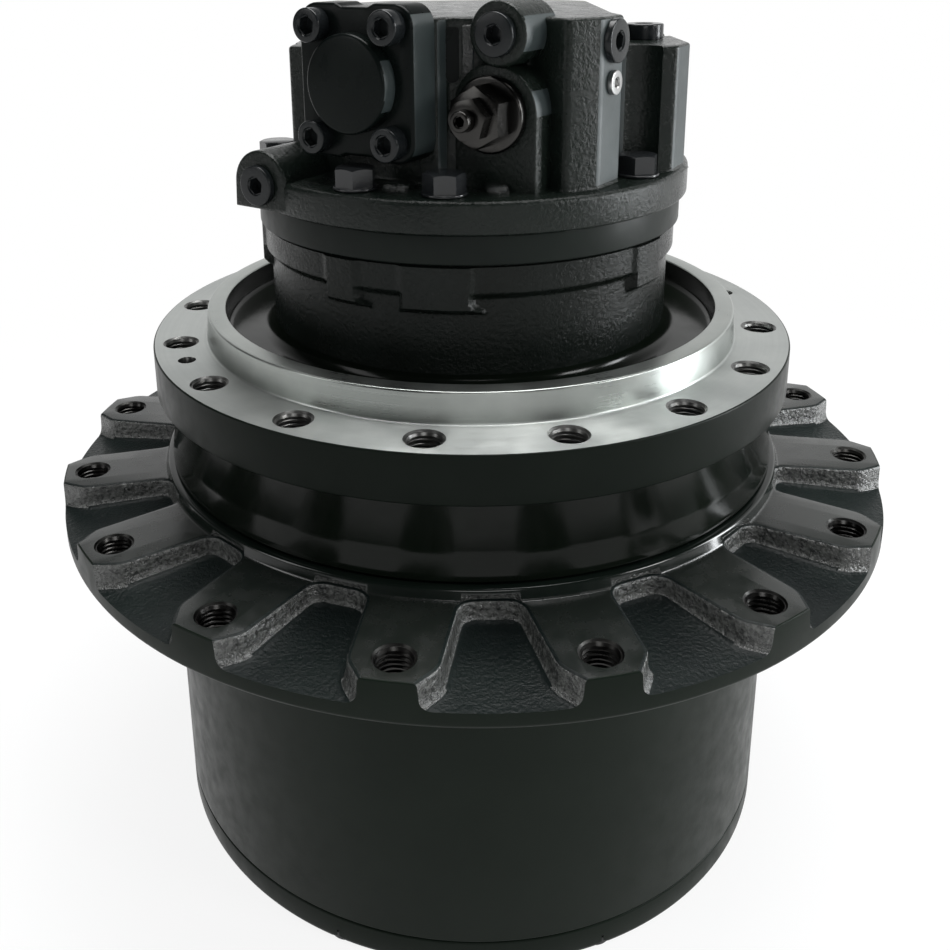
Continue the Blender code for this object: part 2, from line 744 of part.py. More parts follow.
# Floating face seal: one ring turns with the hub, the other stays with the spindle
hub_seal = to_object(
    "hub_seal_ring",
    lathe(
        [
            (SEAL_IN_R + 0.002, SEAL_FLOOR_Z + CLEAR),
            (SEAL_OUT_R, SEAL_FLOOR_Z + CLEAR),
            (SEAL_OUT_R, SEAL_SPLIT_Z - 0.002),
            (SEAL_OUT_R - 0.005, SEAL_SPLIT_Z - CLEAR),
            (SEAL_IN_R + 0.002, SEAL_SPLIT_Z - CLEAR),
        ],
        SEG_MAIN // 2,
    ),
)
finish_list.append((hub_seal, "seal_iron"))
fixed_seal = to_object(
    "fixed_seal_ring",
    lathe(
        [
            (SEAL_IN_R + 0.002, SEAL_SPLIT_Z),
            (SEAL_OUT_R - 0.005, SEAL_SPLIT_Z),
            (SEAL_OUT_R - 0.001, SEAL_SPLIT_Z + 0.002),
            (SEAL_OUT_R - 0.001, NECK_BOTTOM_Z - CLEAR),
            (SEAL_IN_R + 0.002, NECK_BOTTOM_Z - CLEAR),
        ],
        SEG_MAIN // 2,
    ),
)
finish_list.append((fixed_seal, "seal_iron"))

# First stage: sun on the shaft, carrier with pins, three planets
stage1_top = STAGE1_Z0 + STAGE1_W
sun1 = outer_gear("stage1_sun", SUN1_TEETH, STAGE1_Z0 - 0.001, STAGE1_W + 0.001, STAGE1_PHASE, SHAFT_R + CLEAR, True)
finish_list.append((sun1, "gear_steel"))
centre1 = (SUN1_TEETH + PLANET1_TEETH) * MODULE / 2.0
disc1_z0 = stage1_top + 0.0010
disc1_z1 = disc1_z0 + CARRIER1_T
carrier1 = to_object(
    "stage1_carrier",
    lathe(
        [
            (SUN2_NECK_R + CLEAR, disc1_z0),
            (CARRIER1_R, disc1_z0),
            (CARRIER1_R, disc1_z1 - 0.003),
            (CARRIER1_R - 0.003, disc1_z1),
            (SUN2_NECK_R + CLEAR, disc1_z1),
        ],
        SEG_MID,
    ),
)
pins = []
for k in range(3):
    angle = STAGE1_PHASE + k * 2.0 * math.pi / 3.0
    spot = (centre1 * math.cos(angle), centre1 * math.sin(angle))
    pins.append(prism(circle(PIN1_R, 18, spot), STAGE1_Z0 - 0.001, disc1_z0 + 0.006))
add(carrier1, joined(pins))
finish_list.append((carrier1, "machined_steel"))
planets = []
for k in range(3):
    angle = STAGE1_PHASE + k * 2.0 * math.pi / 3.0
    planet = outer_gear(
        "stage1_planet_%d" % (k + 1), PLANET1_TEETH, STAGE1_Z0, STAGE1_W - CLEAR,
        math.pi / PLANET1_TEETH, PIN1_R + CLEAR * 2.0,
    )
    planet.location = (centre1 * math.cos(angle), centre1 * math.sin(angle), 0.0)
    planet.rotation_euler = (0.0, 0.0, angle)
    finish_list.append((planet, "gear_steel"))

# Second stage: sun splined into the first carrier, three planets on the fixed pins
sun2 = outer_gear("stage2_sun", SUN2_TEETH, disc1_z1 + CLEAR, stage2_top - disc1_z1 - CLEAR, STAGE2_PHASE, SUN2_BORE_R, True)
neck = lathe(
    [
        (SUN2_BORE_R, disc1_z0),
        (SUN2_NECK_R, disc1_z0),
        (SUN2_NECK_R, disc1_z1 + 0.004),
        (SUN2_BORE_R, disc1_z1 + 0.004),
    ],
    SEG_MID,
)
add(sun2, neck)
finish_list.append((sun2, "gear_steel"))
for k in range(3):
    angle = STAGE2_PHASE + k * 2.0 * math.pi / 3.0
    planet = outer_gear(
        "stage2_planet_%d" % (k + 1), PLANET2_TEETH, STAGE2_Z0, STAGE2_W - CLEAR,
        math.pi + math.pi / PLANET2_TEETH, PIN2_R + CLEAR * 2.0,
    )
    planet.location = (centre2 * math.cos(angle), centre2 * math.sin(angle), 0.0)
    planet.rotation_euler = (0.0, 0.0, angle)
    finish_list.append((planet, "gear_steel"))

# Drive shaft from the thrust button to the cylinder block
plate_z0 = MOTOR_TOP_Z - PLATE_T
shaft = to_object(
    "drive_shaft",
    lathe(
        [
            (0.0, cover_top + THRUST_BUTTON_H + CLEAR),
            (SHAFT_R - 0.002, cover_top + THRUST_BUTTON_H + CLEAR),
            (SHAFT_R, cover_top + THRUST_BUTTON_H + 0.003),
            (SHAFT_R, SPINDLE_FOOT_Z + 0.010),
            (SHAFT_R + 0.006, SPINDLE_FOOT_Z + 0.016),
            (SHAFT_R + 0.006, BLOCK_Z0 - 0.010),
            (SHAFT_R, BLOCK_Z0 - 0.006),
            (SHAFT_R, plate_z0 - 0.001),
            (SHAFT_R - 0.003, plate_z0 + PLATE_T - 0.001),
            (0.0, plate_z0 + PLATE_T - 0.001),
        ],
        24,
    ),
)
finish_list.append((shaft, "machined_steel"))

# Swash plate, cylinder block with its pistons, valve plate and brake piston
swash_low = SWASH_R * math.cos(math.pi / SEG_MID) * math.sin(SWASH_TILT)
swash_mid_z = MOTOR_FLOOR_Z + CLEAR + swash_low + SWASH_T * 0.5 * math.cos(SWASH_TILT)
swash = to_object(
    "swash_plate",
    lathe([(SHAFT_R + 0.014, -SWASH_T / 2), (SWASH_R, -SWASH_T / 2), (SWASH_R, SWASH_T / 2), (SHAFT_R + 0.014, SWASH_T / 2)], SEG_MID),
)
swash.data.transform(Matrix.Translation((0.0, 0.0, swash_mid_z)) @ Matrix.Rotation(SWASH_TILT, 4, "X"))
finish_list.append((swash, "gear_steel"))
block = to_object(
    "cylinder_block",
    lathe(
        [
            (SHAFT_R + CLEAR, BLOCK_Z0),
            (BLOCK_R, BLOCK_Z0),
            (BLOCK_R, BLOCK_Z1),
            (BLOCK_R - 0.006, plate_z0 - CLEAR),
            (SHAFT_R + CLEAR, plate_z0 - CLEAR),
        ],
        SEG_MID,
    ),
)
pistons = []
# all nine pistons are drawn in the same stroke, clear of the tilted plate in any turn
swash_rise = (PISTON_PCD_R + PISTON_R) * math.tan(SWASH_TILT) + SWASH_T * 0.5 / math.cos(SWASH_TILT)
piston_z0 = swash_mid_z + swash_rise + 0.0015
for k in range(PISTONS):
    angle = 2.0 * math.pi * k / PISTONS
    x = PISTON_PCD_R * math.cos(angle)
    y = PISTON_PCD_R * math.sin(angle)
    pistons.append(prism(circle(PISTON_R, 8, (x, y)), piston_z0, BLOCK_Z0 + 0.010))
add(block, joined(pistons))
finish_list.append((block, "gear_steel"))
plate = to_object(
    "valve_plate",
    lathe([(SHAFT_R + CLEAR, plate_z0), (BLOCK_R + 0.006, plate_z0), (BLOCK_R + 0.006, MOTOR_TOP_Z), (SHAFT_R + CLEAR, MOTOR_TOP_Z)], SEG_MID),
)
finish_list.append((plate, "bronze"))
brake = to_object(
    "brake_piston",
    lathe(
        [
            (BRAKE_IN_R, BRAKE_Z0),
            (MOTOR_BORE_R - CLEAR, BRAKE_Z0),
            (MOTOR_BORE_R - CLEAR, BRAKE_Z1),
            (BRAKE_IN_R + 0.006, BRAKE_Z1),
            (BRAKE_IN_R + 0.006, BRAKE_Z0 + BRAKE_STEP_H),
            (BRAKE_IN_R, BRAKE_Z0 + BRAKE_CHAMFER_H),
        ],
        SEG_MID,
    ),
)
finish_list.append((brake, "machined_steel"))

# Valve cover casting
vc_z0 = MOTOR_TOP_Z + CLEAR
vc_z1 = vc_z0 + VC_FLANGE_T
valve = to_object(
    "valve_cover",
    lathe(
        [(0.0, vc_z0), (VC_FLANGE_R, vc_z0), (VC_FLANGE_R, vc_z1 - 0.002), (VC_FLANGE_R - 0.002, vc_z1), (0.0, vc_z1)],
        SEG_BIG,
    ),
)


def corner_round(points, radius, steps=3):
    """Outline with each corner turned into a short arc."""
    out = []
    count = len(points)
    for i in range(count):
        here = Vector(points[i])
        before = (Vector(points[i - 1]) - here)
        after = (Vector(points[(i + 1) % count]) - here)
        reach = min(radius, before.length * 0.45, after.length * 0.45)
        start = here + before.normalized() * reach
        end = here + after.normalized() * reach
        for s in range(steps + 1):
            f = s / steps
            spot = start * (1 - f) ** 2 + here * (2 * f * (1 - f)) + end * f ** 2
            out.append((spot.x, spot.y))
    return out


cheek_a = N_DIR * VC_CHEEK_N + T_DIR * (CAP_ALONG - CAP_W / 2 - 0.001)
cheek_b = N_DIR * VC_CHEEK_N + T_DIR * (CAP_ALONG + CAP_W / 2 + 0.001)
nose = Vector((*VC_NOSE[1], 0.0))
side_back = nose - N_DIR * VC_SIDE_FACE_W
body_outline = [
    (VC_LEFT_X, cheek_a.y + 0.004),
    (cheek_a.x, cheek_a.y),
    (cheek_b.x, cheek_b.y),
    (cheek_b.x + 0.010, VC_STEP_Y),
    (VC_STEP_X, VC_STEP_Y),
    (VC_STEP_X + 0.004, VC_STEP_Y),
    VC_NOSE[0],
    VC_NOSE[1],
    (side_back.x, side_back.y),
    (VC_RIGHT_X, side_back.y + 0.020),
    (VC_RIGHT_X, VC_BACK_Y - 0.030),
    (VC_RIGHT_X - 0.030, VC_BACK_Y),
    (VC_LEFT_X + 0.030, VC_BACK_Y),
    (VC_LEFT_X, VC_BACK_Y - 0.030),
]
add(valve, prism(corner_round(body_outline, 0.006, 2), vc_z1 - 0.004, VC_BODY_TOP_Z))
left_block = corner_round([(-0.104, -0.034), (-0.078, -0.044), (-0.078, 0.050), (-0.104, 0.040)], 0.006, 2)
add(valve, prism(left_block, vc_z1 - 0.003, VC_SIDE_TOP_Z))
rear_block = corner_round([(0.070, -0.066), (0.116, -0.060), (0.126, -0.040), (0.124, 0.040), (0.070, 0.052)], 0.006, 2)
add(valve, prism(rear_block, vc_z1 - 0.0035, VC_REAR_BLOCK_TOP_Z))
arch_face = N_DIR * ARCH_N + T_DIR * ARCH_T + UP * ARCH_Z
arch_low = vc_z1 - 0.0025 - arch_face.z
arch = [(-ARCH_R, arch_low), (ARCH_R, arch_low)]
for i in range(13):
    turn = math.pi * i / 12.0
    arch.append((ARCH_R * math.cos(turn), ARCH_R * math.sin(turn)))
add(valve, placed(prism(arch, -ARCH_DEPTH, 0.0), frame_matrix(arch_face, N_DIR)))
lobe_face = N_DIR * FRONT_PLUG_N + T_DIR * FRONT_PLUG_T + UP * FRONT_PLUG_Z
add(valve, placed(prism(circle(FRONT_LOBE_R, 16), -0.035, 0.0), frame_matrix(lobe_face, N_DIR)))
lug_face = N_DIR * LUG_N + T_DIR * LUG_T + UP * LUG_PLUG_Z
lug_low = LUG_BLOCK_BOTTOM_Z - LUG_PLUG_Z
lug = [(-LUG_HALF_W, lug_low), (LUG_HALF_W, lug_low)]
for i in range(11):
    turn = math.pi * i / 10.0
    lug.append((LUG_HALF_W * math.cos(turn), LUG_HALF_W * math.sin(turn)))
add(valve, placed(prism(lug, -LUG_DEPTH, 0.0), frame_matrix(lug_face, N_DIR)))
vc_cuts = []
for degrees in VC_BOLT_AZIMUTHS:
    spot = polar(VC_BOLT_PCD_R, math.radians(degrees))
    vc_cuts.append(prism(circle(VC_BOLT_HEAD_R * 1.28, 12, (spot.x, spot.y)), vc_z1, VC_BODY_TOP_Z + 0.002))
cut(valve, joined(vc_cuts))
vc_cuts = []
for degrees in VC_BOLT_AZIMUTHS:
    spot = polar(VC_BOLT_PCD_R, math.radians(degrees))
    vc_cuts.append(prism(circle(VC_BOLT_SHANK_R * 1.09, 8, (spot.x, spot.y)), vc_z0 - 0.002, vc_z1 + 0.002))
cap_centre = N_DIR * (VC_CHEEK_N + CLEAR) + T_DIR * CAP_ALONG + UP * CAP_Z
for sx in (-0.5, 0.5):
    for sz in (-0.5, 0.5):
        spot = cap_centre + T_DIR * (sx * CAP_SCREW_W) + UP * (sz * CAP_SCREW_H)
        vc_cuts.append(placed(prism(circle(CAP_SCREW_R + CLEAR, 12), -CAP_SEAT_DEPTH, 0.002), frame_matrix(spot, N_DIR)))
vc_cuts.append(placed(prism(circle(CARTRIDGE_R - 0.006 + CLEAR, 20), -0.020, 0.002), frame_matrix(arch_face, N_DIR)))
vc_cuts.append(placed(prism(circle(SMALL_PLUG_R - 0.003 + CLEAR, 16), -0.012, 0.002), frame_matrix(lobe_face, N_DIR)))
vc_cuts.append(placed(prism(circle(SMALL_PLUG_R - 0.003 + CLEAR, 16), -0.012, 0.002), frame_matrix(lug_face, N_DIR)))
for sx in (-1, 1):
    spot = Vector((sx * PORT_SPREAD, VC_BACK_Y, PORT_Z))
    vc_cuts.append(placed(prism(circle(PORT_R, 20), -PORT_DEPTH, 0.002), frame_matrix(spot, (0.0, 1.0, 0.0))))
side_middle = (nose + side_back) / 2.0
side_plug_spot = side_middle + UP * SIDE_PLUG_Z
orifice_spot = side_middle + UP * ORIFICE_Z
vc_cuts.append(placed(prism(circle(SMALL_PLUG_R - 0.003 + CLEAR, 16), -0.012, 0.002), frame_matrix(side_plug_spot, T_DIR)))
vc_cuts.append(placed(prism(circle(0.004 + CLEAR, 12), -0.008, 0.002), frame_matrix(orifice_spot, T_DIR)))
rear_plug_spot = Vector((0.104, -0.012, VC_REAR_BLOCK_TOP_Z))
vc_cuts.append(placed(prism(circle(SMALL_PLUG_R - 0.003 + CLEAR, 16), -0.012, 0.002), frame_matrix(rear_plug_spot, UP)))
cut(valve, joined(vc_cuts))
finish_list.append((valve, "black_paint"))

# Bolts that hold the valve cover
for k, degrees in enumerate(VC_BOLT_AZIMUTHS):
    spot = polar(VC_BOLT_PCD_R, math.radians(degrees), vc_z1)
    bolt = hex_bolt(
        "flange_bolt_%d" % (k + 1), spot, UP, VC_BOLT_HEAD_R, VC_BOLT_HEAD_H, VC_BOLT_SHANK_R,
        VC_FLANGE_T + VC_BOLT_GRIP,
    )
    finish_list.append((bolt, "dark_steel"))

# Counterbalance cap, its round boss and four screws
cap = to_object(
    "counterbalance_cap",
    prism(
        corner_round(
            [(-CAP_W / 2, -CAP_H / 2), (CAP_W / 2, -CAP_H / 2), (CAP_W / 2, CAP_H / 2), (-CAP_W / 2, CAP_H / 2)],
            CAP_CORNER, 4,
        ),
        0.0,
        CAP_T - CLEAR,
    ),
)
add(cap, lathe([(0.0, CAP_T - 0.004), (CAP_BOSS_R, CAP_T - 0.004), (CAP_BOSS_R, CAP_T + CAP_BOSS_H - 0.002),
                (CAP_BOSS_R - 0.002, CAP_T + CAP_BOSS_H), (0.0, CAP_T + CAP_BOSS_H)], SEG_MID))
cap_holes = []
for sx in (-0.5, 0.5):
    for sz in (-0.5, 0.5):
        cap_holes.append(prism(circle(CAP_SCREW_R + CLEAR, 12, (sx * CAP_SCREW_W, sz * CAP_SCREW_H)), -0.002, CAP_T + 0.002))
cut(cap, joined(cap_holes))
cap.data.transform(frame_matrix(cap_centre, N_DIR))
finish_list.append((cap, "black_paint"))
count = 0
for sx in (-0.5, 0.5):
    for sz in (-0.5, 0.5):
        count += 1
        spot = cap_centre + T_DIR * (sx * CAP_SCREW_W) + UP * (sz * CAP_SCREW_H) + N_DIR * (CAP_T - CLEAR)
        screw = turned_plug(
            "cap_screw_%d" % count, spot, N_DIR, CAP_SCREW_HEAD_R, CAP_SCREW_HEAD_H, CAP_SCREW_R,
            CAP_T + 0.012, CAP_SCREW_SOCKET_R,
        )
        finish_list.append((screw, "dark_steel"))

# Relief cartridge, its lock nut and adjuster
cartridge = to_object(
    "relief_cartridge",
    lathe(
        [
            (0.0, -0.018), (CARTRIDGE_R - 0.006, -0.018), (CARTRIDGE_R - 0.006, CLEAR), (CARTRIDGE_R, CLEAR),
            (CARTRIDGE_R, CARTRIDGE_COLLAR_H - 0.001), (CARTRIDGE_R - 0.001, CARTRIDGE_COLLAR_H), (0.0, CARTRIDGE_COLLAR_H),
        ],
        28,
    ),
)
cart_top = CARTRIDGE_COLLAR_H + CARTRIDGE_HEX_H
add(cartridge, hex_prism(CARTRIDGE_HEX_R, CARTRIDGE_COLLAR_H - 0.002, cart_top))
cut(cartridge, prism(circle(ADJUSTER_R + CLEAR, 16), cart_top - 0.008, cart_top + 0.002))
cartridge.data.transform(frame_matrix(arch_face, N_DIR))
finish_list.append((cartridge, "dark_steel"))
locknut = to_object("relief_locknut", hex_prism(LOCKNUT_HEX_R, 0.0, LOCKNUT_H))
cut(locknut, prism(circle(ADJUSTER_R + CLEAR, 16), -0.002, LOCKNUT_H + 0.002))
locknut.data.transform(frame_matrix(arch_face + N_DIR * (cart_top + CLEAR), N_DIR))
finish_list.append((locknut, "machined_steel"))
adjuster = turned_plug(
    "relief_adjuster", arch_face + N_DIR * cart_top, N_DIR, ADJUSTER_R, ADJUSTER_H + LOCKNUT_H * 0.2, ADJUSTER_R,
    0.007, 0.003,
)
finish_list.append((adjuster, "machined_steel"))

# Plugs of the valve cover
for name, spot, outward in (
    ("front_plug", lobe_face, N_DIR),
    ("lug_plug", lug_face, N_DIR),
    ("side_plug", side_plug_spot, T_DIR),
    ("rear_block_plug", rear_plug_spot, UP),
):
    head_h = REAR_PLUG_H if name == "rear_block_plug" else SMALL_PLUG_H
    plug = turned_plug(name, spot, outward, SMALL_PLUG_R, head_h, SMALL_PLUG_R - 0.003, 0.011, 0.005, 12)
    finish_list.append((plug, "dark_steel"))
orifice = turned_plug("orifice_plug", orifice_spot, T_DIR, 0.0065, 0.003, 0.004, 0.007, 0.0028, 12)
finish_list.append((orifice, "dark_steel"))

for piece, look in finish_list:
    finish(piece, look)
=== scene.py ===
"""Looks of the excavator final drive: dressed castings, turned rings, bolts, paint and light."""
import math

import bmesh
import bpy
from mathutils import Matrix, Vector


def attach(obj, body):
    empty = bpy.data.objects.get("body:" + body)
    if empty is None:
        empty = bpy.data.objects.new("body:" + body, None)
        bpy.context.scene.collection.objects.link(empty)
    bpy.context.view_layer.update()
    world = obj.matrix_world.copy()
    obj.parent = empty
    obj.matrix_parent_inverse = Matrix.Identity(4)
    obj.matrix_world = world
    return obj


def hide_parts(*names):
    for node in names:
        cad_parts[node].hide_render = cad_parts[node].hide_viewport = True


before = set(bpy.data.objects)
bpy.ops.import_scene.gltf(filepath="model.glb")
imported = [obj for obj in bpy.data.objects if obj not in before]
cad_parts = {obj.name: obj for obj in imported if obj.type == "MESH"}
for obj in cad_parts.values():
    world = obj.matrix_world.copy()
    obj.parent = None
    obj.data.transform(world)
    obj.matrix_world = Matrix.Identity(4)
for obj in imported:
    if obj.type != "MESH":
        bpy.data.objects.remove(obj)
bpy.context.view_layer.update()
scene = bpy.context.scene

# Camera: the view of the photograph, a little above the drive.
# Its lens is shifted down, because the photograph is cropped at the top of the valve cover.
camera_data = bpy.data.cameras.new("camera")
camera = bpy.data.objects.new("camera", camera_data)
scene.collection.objects.link(camera)
camera_right = Vector((0.99933245, 0.03423551, -0.01275123))
camera_up = Vector((0.00249786, 0.28418605, 0.9587659))
camera_turn = Matrix((camera_right, camera_up, camera_right.cross(camera_up))).transposed().to_4x4()
camera.matrix_world = Matrix.Translation((0.0, -0.65568, 0.54802)) @ camera_turn
camera_data.sensor_width = 36.0
camera_data.lens = 40.20
camera_data.shift_x = 0.04797
camera_data.shift_y = -0.22303
camera_data.clip_start = 0.05
scene.camera = camera
scene.view_settings.view_transform = "Standard"


# Gears, carriers, bearings and face seal: ground and turned steel, hidden inside the hub.
# They keep the form of the CAD and get bare metal with the marks of the wheel and the lathe.
def shader(name):
    mat = bpy.data.materials.new(name)
    mat.use_nodes = True
    nodes = mat.node_tree.nodes
    return mat, nodes, mat.node_tree.links, nodes["Principled BSDF"]


def coordinates(nodes, links, stretch=(1.0, 1.0, 1.0)):
    coord = nodes.new("ShaderNodeTexCoord")
    mapping = nodes.new("ShaderNodeMapping")
    mapping.inputs["Scale"].default_value = stretch
    links.new(coord.outputs["Object"], mapping.inputs["Vector"])
    return mapping.outputs["Vector"]


def noise(nodes, links, vector, scale, detail=3.0, rough=0.55):
    tex = nodes.new("ShaderNodeTexNoise")
    tex.inputs["Scale"].default_value = scale
    tex.inputs["Detail"].default_value = detail
    tex.inputs["Roughness"].default_value = rough
    links.new(vector, tex.inputs["Vector"])
    return tex.outputs["Fac"]


def spread(nodes, links, fac, low, high, start=0.3, end=0.7):
    """Maps a factor from start..end to low..high."""
    node = nodes.new("ShaderNodeMapRange")
    node.inputs["From Min"].default_value = start
    node.inputs["From Max"].default_value = end
    node.inputs["To Min"].default_value = low
    node.inputs["To Max"].default_value = high
    links.new(fac, node.inputs["Value"])
    return node.outputs["Result"]


def bump(nodes, links, height, distance, normal=None):
    node = nodes.new("ShaderNodeBump")
    node.inputs["Distance"].default_value = distance
    node.inputs["Strength"].default_value = 1.0
    links.new(height, node.inputs["Height"])
    if normal is not None:
        links.new(normal, node.inputs["Normal"])
    return node.outputs["Normal"]


def tinted(nodes, links, fac, dark, light):
    ramp = nodes.new("ShaderNodeValToRGB")
    ramp.color_ramp.elements[0].position = 0.3
    ramp.color_ramp.elements[0].color = (*dark, 1.0)
    ramp.color_ramp.elements[1].position = 0.75
    ramp.color_ramp.elements[1].color = (*light, 1.0)
    links.new(fac, ramp.inputs["Fac"])
    return ramp.outputs["Color"]


def machined(name, dark, light, rough, rings=900.0, depth=0.00004, lay=0.0):
    """Bare turned metal: fine rings round the Z axis, with stains and uneven roughness.

    The lay is how far the rings spread the light across themselves.
    """
    mat, nodes, links, bsdf = shader(name)
    vector = coordinates(nodes, links)
    split = nodes.new("ShaderNodeSeparateXYZ")
    flat = nodes.new("ShaderNodeCombineXYZ")
    length = nodes.new("ShaderNodeVectorMath")
    length.operation = "LENGTH"
    join = nodes.new("ShaderNodeCombineXYZ")
    links.new(vector, split.inputs["Vector"])
    links.new(split.outputs["X"], flat.inputs["X"])
    links.new(split.outputs["Y"], flat.inputs["Y"])
    links.new(flat.outputs["Vector"], length.inputs[0])
    links.new(length.outputs["Value"], join.inputs["X"])
    links.new(split.outputs["Z"], join.inputs["Y"])
    marks = noise(nodes, links, join.outputs["Vector"], scale=rings, detail=3.0, rough=0.7)
    stain = noise(nodes, links, vector, scale=22.0, detail=5.0)
    scuff = noise(nodes, links, vector, scale=240.0, detail=4.0, rough=0.65)
    links.new(tinted(nodes, links, stain, dark, light), bsdf.inputs["Base Color"])
    uneven = nodes.new("ShaderNodeMath")
    uneven.operation = "MULTIPLY_ADD"
    uneven.inputs[1].default_value = 0.6
    links.new(marks, uneven.inputs[0])
    links.new(stain, uneven.inputs[2])
    links.new(
        spread(nodes, links, uneven.outputs["Value"], low=rough[0], high=rough[1], start=0.6, end=1.0),
        bsdf.inputs["Roughness"],
    )
    bsdf.inputs["Metallic"].default_value = 1.0
    if lay > 0.0:
        rings_way = nodes.new("ShaderNodeTangent")
        rings_way.direction_type = "RADIAL"
        rings_way.axis = "Z"
        links.new(rings_way.outputs["Tangent"], bsdf.inputs["Tangent"])
        bsdf.inputs["Anisotropic"].default_value = lay
        bsdf.inputs["Anisotropic Rotation"].default_value = 0.25
    scratched = bump(nodes, links, scuff, depth * 0.6)
    links.new(bump(nodes, links, marks, depth, scratched), bsdf.inputs["Normal"])
    return mat


def metal_for(mat, names):
    """Gives the CAD nodes that keep their form a metal."""
    for name in names:
        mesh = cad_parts[name].data
        mesh.materials.clear()
        mesh.materials.append(mat)


GEAR_STEEL = machined(
    "ground gear steel", dark=(0.34, 0.34, 0.34), light=(0.46, 0.46, 0.45), rough=(0.22, 0.34),
    rings=1200.0, depth=0.00002,
)
TURNED_STEEL = machined(
    "turned carrier steel", dark=(0.36, 0.36, 0.36), light=(0.50, 0.50, 0.49),
    rough=(0.26, 0.40),
)
SEAL_IRON = machined(
    "seal iron", dark=(0.18, 0.18, 0.18), light=(0.28, 0.28, 0.27), rough=(0.24, 0.36),
)
metal_for(GEAR_STEEL, ["ring_gear", "stage1_sun", "stage2_sun"])
metal_for(GEAR_STEEL, ["stage%d_planet_%d" % (stage, k) for stage in (1, 2) for k in (1, 2, 3)])
metal_for(GEAR_STEEL, ["bearing_%s_%s" % (row, race) for row in "ab" for race in ("inner", "outer")])
metal_for(TURNED_STEEL, ["stage1_carrier", "stage2_carrier", "bearing_nut"])
metal_for(SEAL_IRON, ["hub_seal_ring", "fixed_seal_ring"])

# Travel motor: drive shaft, swash plate, cylinder block, bronze valve plate and brake piston.
# Ground steel and bronze inside the spindle casting, also kept from the CAD.
BRONZE = machined(
    "valve plate bronze", dark=(0.42, 0.27, 0.12), light=(0.55, 0.37, 0.18), rough=(0.22, 0.34),
)
metal_for(GEAR_STEEL, ["cylinder_block", "swash_plate"])
metal_for(TURNED_STEEL, ["drive_shaft", "brake_piston"])
metal_for(BRONZE, ["valve_plate"])


# Hub housing: the drum, the rim with its sixteen pads, and the lip round the neck.
# Cast iron under black paint: turned as one profile, with rough cast pockets left between
# the milled pads, and a tapped hole in each pad for the sprocket.
def polar(radius, azimuth, z=0.0):
    """Point at an azimuth in radians that runs from -Y towards +X."""
    return Vector((radius * math.sin(azimuth), -radius * math.cos(azimuth), z))


def fillet(points, steps=5):
    """Rounds a closed outline of (x, y, radius, mat) points; returns (x, y, mat) points.

    The mat of a point belongs to the side that runs from it to the next point.
    """
    out = []
    count = len(points)
    for i, (x, y, radius, mat) in enumerate(points):
        here = Vector((x, y))
        a = Vector(points[i - 1][:2]) - here
        b = Vector(points[(i + 1) % count][:2]) - here
        if radius <= 0.0 or a.length < 1e-7 or b.length < 1e-7:
            out.append((x, y, mat))
            continue
        ua = a.normalized()
        ub = b.normalized()
        half = math.acos(max(-1.0, min(1.0, ua.dot(ub)))) / 2.0
        if half < 0.05 or half > 1.55:
            out.append((x, y, mat))
            continue
        reach = min(radius / math.tan(half), a.length * 0.49, b.length * 0.49)
        radius = reach * math.tan(half)
        centre = here + (ua + ub).normalized() * (radius / math.sin(half))
        start = here + ua * reach - centre
        end = here + ub * reach - centre
        turn = math.atan2(start.x * end.y - start.y * end.x, start.dot(end))
        for s in range(steps + 1):
            c, d = math.cos(turn * s / steps), math.sin(turn * s / steps)
            spot = centre + Vector((start.x * c - start.y * d, start.x * d + start.y * c))
            out.append((spot.x, spot.y, mat if s == steps else points[i - 1][3]))
    return out


def turned_mesh(profile, segments, steps=5):
    """Closed turned solid from (radius, z, fillet, mat) points of its section."""
    bm = bmesh.new()
    points = fillet(profile, steps)
    rings = []
    for radius, z, _ in points:
        if radius < 1e-6:
            rings.append([bm.verts.new((0.0, 0.0, z))])
            continue
        ring = []
        for i in range(segments):
            angle = 2.0 * math.pi * i / segments
            ring.append(bm.verts.new((radius * math.cos(angle), radius * math.sin(angle), z)))
        rings.append(ring)
    for k in range(len(rings)):
        a = rings[k]
        b = rings[(k + 1) % len(rings)]
        if len(a) == 1 and len(b) == 1:
            continue
        for i in range(segments):
            j = (i + 1) % segments
            if len(a) == 1:
                face = bm.faces.new((a[0], b[i], b[j]))
            elif len(b) == 1:
                face = bm.faces.new((a[i], a[j], b[0]))
            else:
                face = bm.faces.new((a[i], a[j], b[j], b[i]))
            face.material_index = points[k][2]
    return bm


def loft(outlines):
    """Closed solid through outlines of equal length, each a list of (x, y, z)."""
    bm = bmesh.new()
    rings = [[bm.verts.new(p) for p in outline] for outline in outlines]
    bm.faces.new(rings[0][::-1])
    bm.faces.new(rings[-1])
    for a, b in zip(rings, rings[1:]):
        for i in range(len(a)):
            j = (i + 1) % len(a)
            bm.faces.new((a[i], a[j], b[j], b[i]))
    return bm


def offset(points, distance):
    """Moves a closed counter-clockwise outline outwards along its normals."""
    out = []
    for i in range(len(points)):
        before = Vector(points[i - 1][:2])
        after = Vector(points[(i + 1) % len(points)][:2])
        along = (after - before).normalized()
        out.append((points[i][0] + along.y * distance, points[i][1] - along.x * distance))
    return out


def moved(bm, matrix):
    bm.transform(matrix)
    return bm


def together(meshes):
    out = bmesh.new()
    for bm in meshes:
        temp = bpy.data.meshes.new("temp")
        bm.to_mesh(temp)
        bm.free()
        out.from_mesh(temp)
        bpy.data.meshes.remove(temp)
    return out


def to_object(name, bm, mats):
    bmesh.ops.remove_doubles(bm, verts=bm.verts, dist=1e-6)
    bmesh.ops.recalc_face_normals(bm, faces=bm.faces)
    mesh = bpy.data.meshes.new(name)
    bm.to_mesh(mesh)
    bm.free()
    for mat in mats:
        mesh.materials.append(mat)
    ob = bpy.data.objects.new(name, mesh)
    scene.collection.objects.link(ob)
    return ob


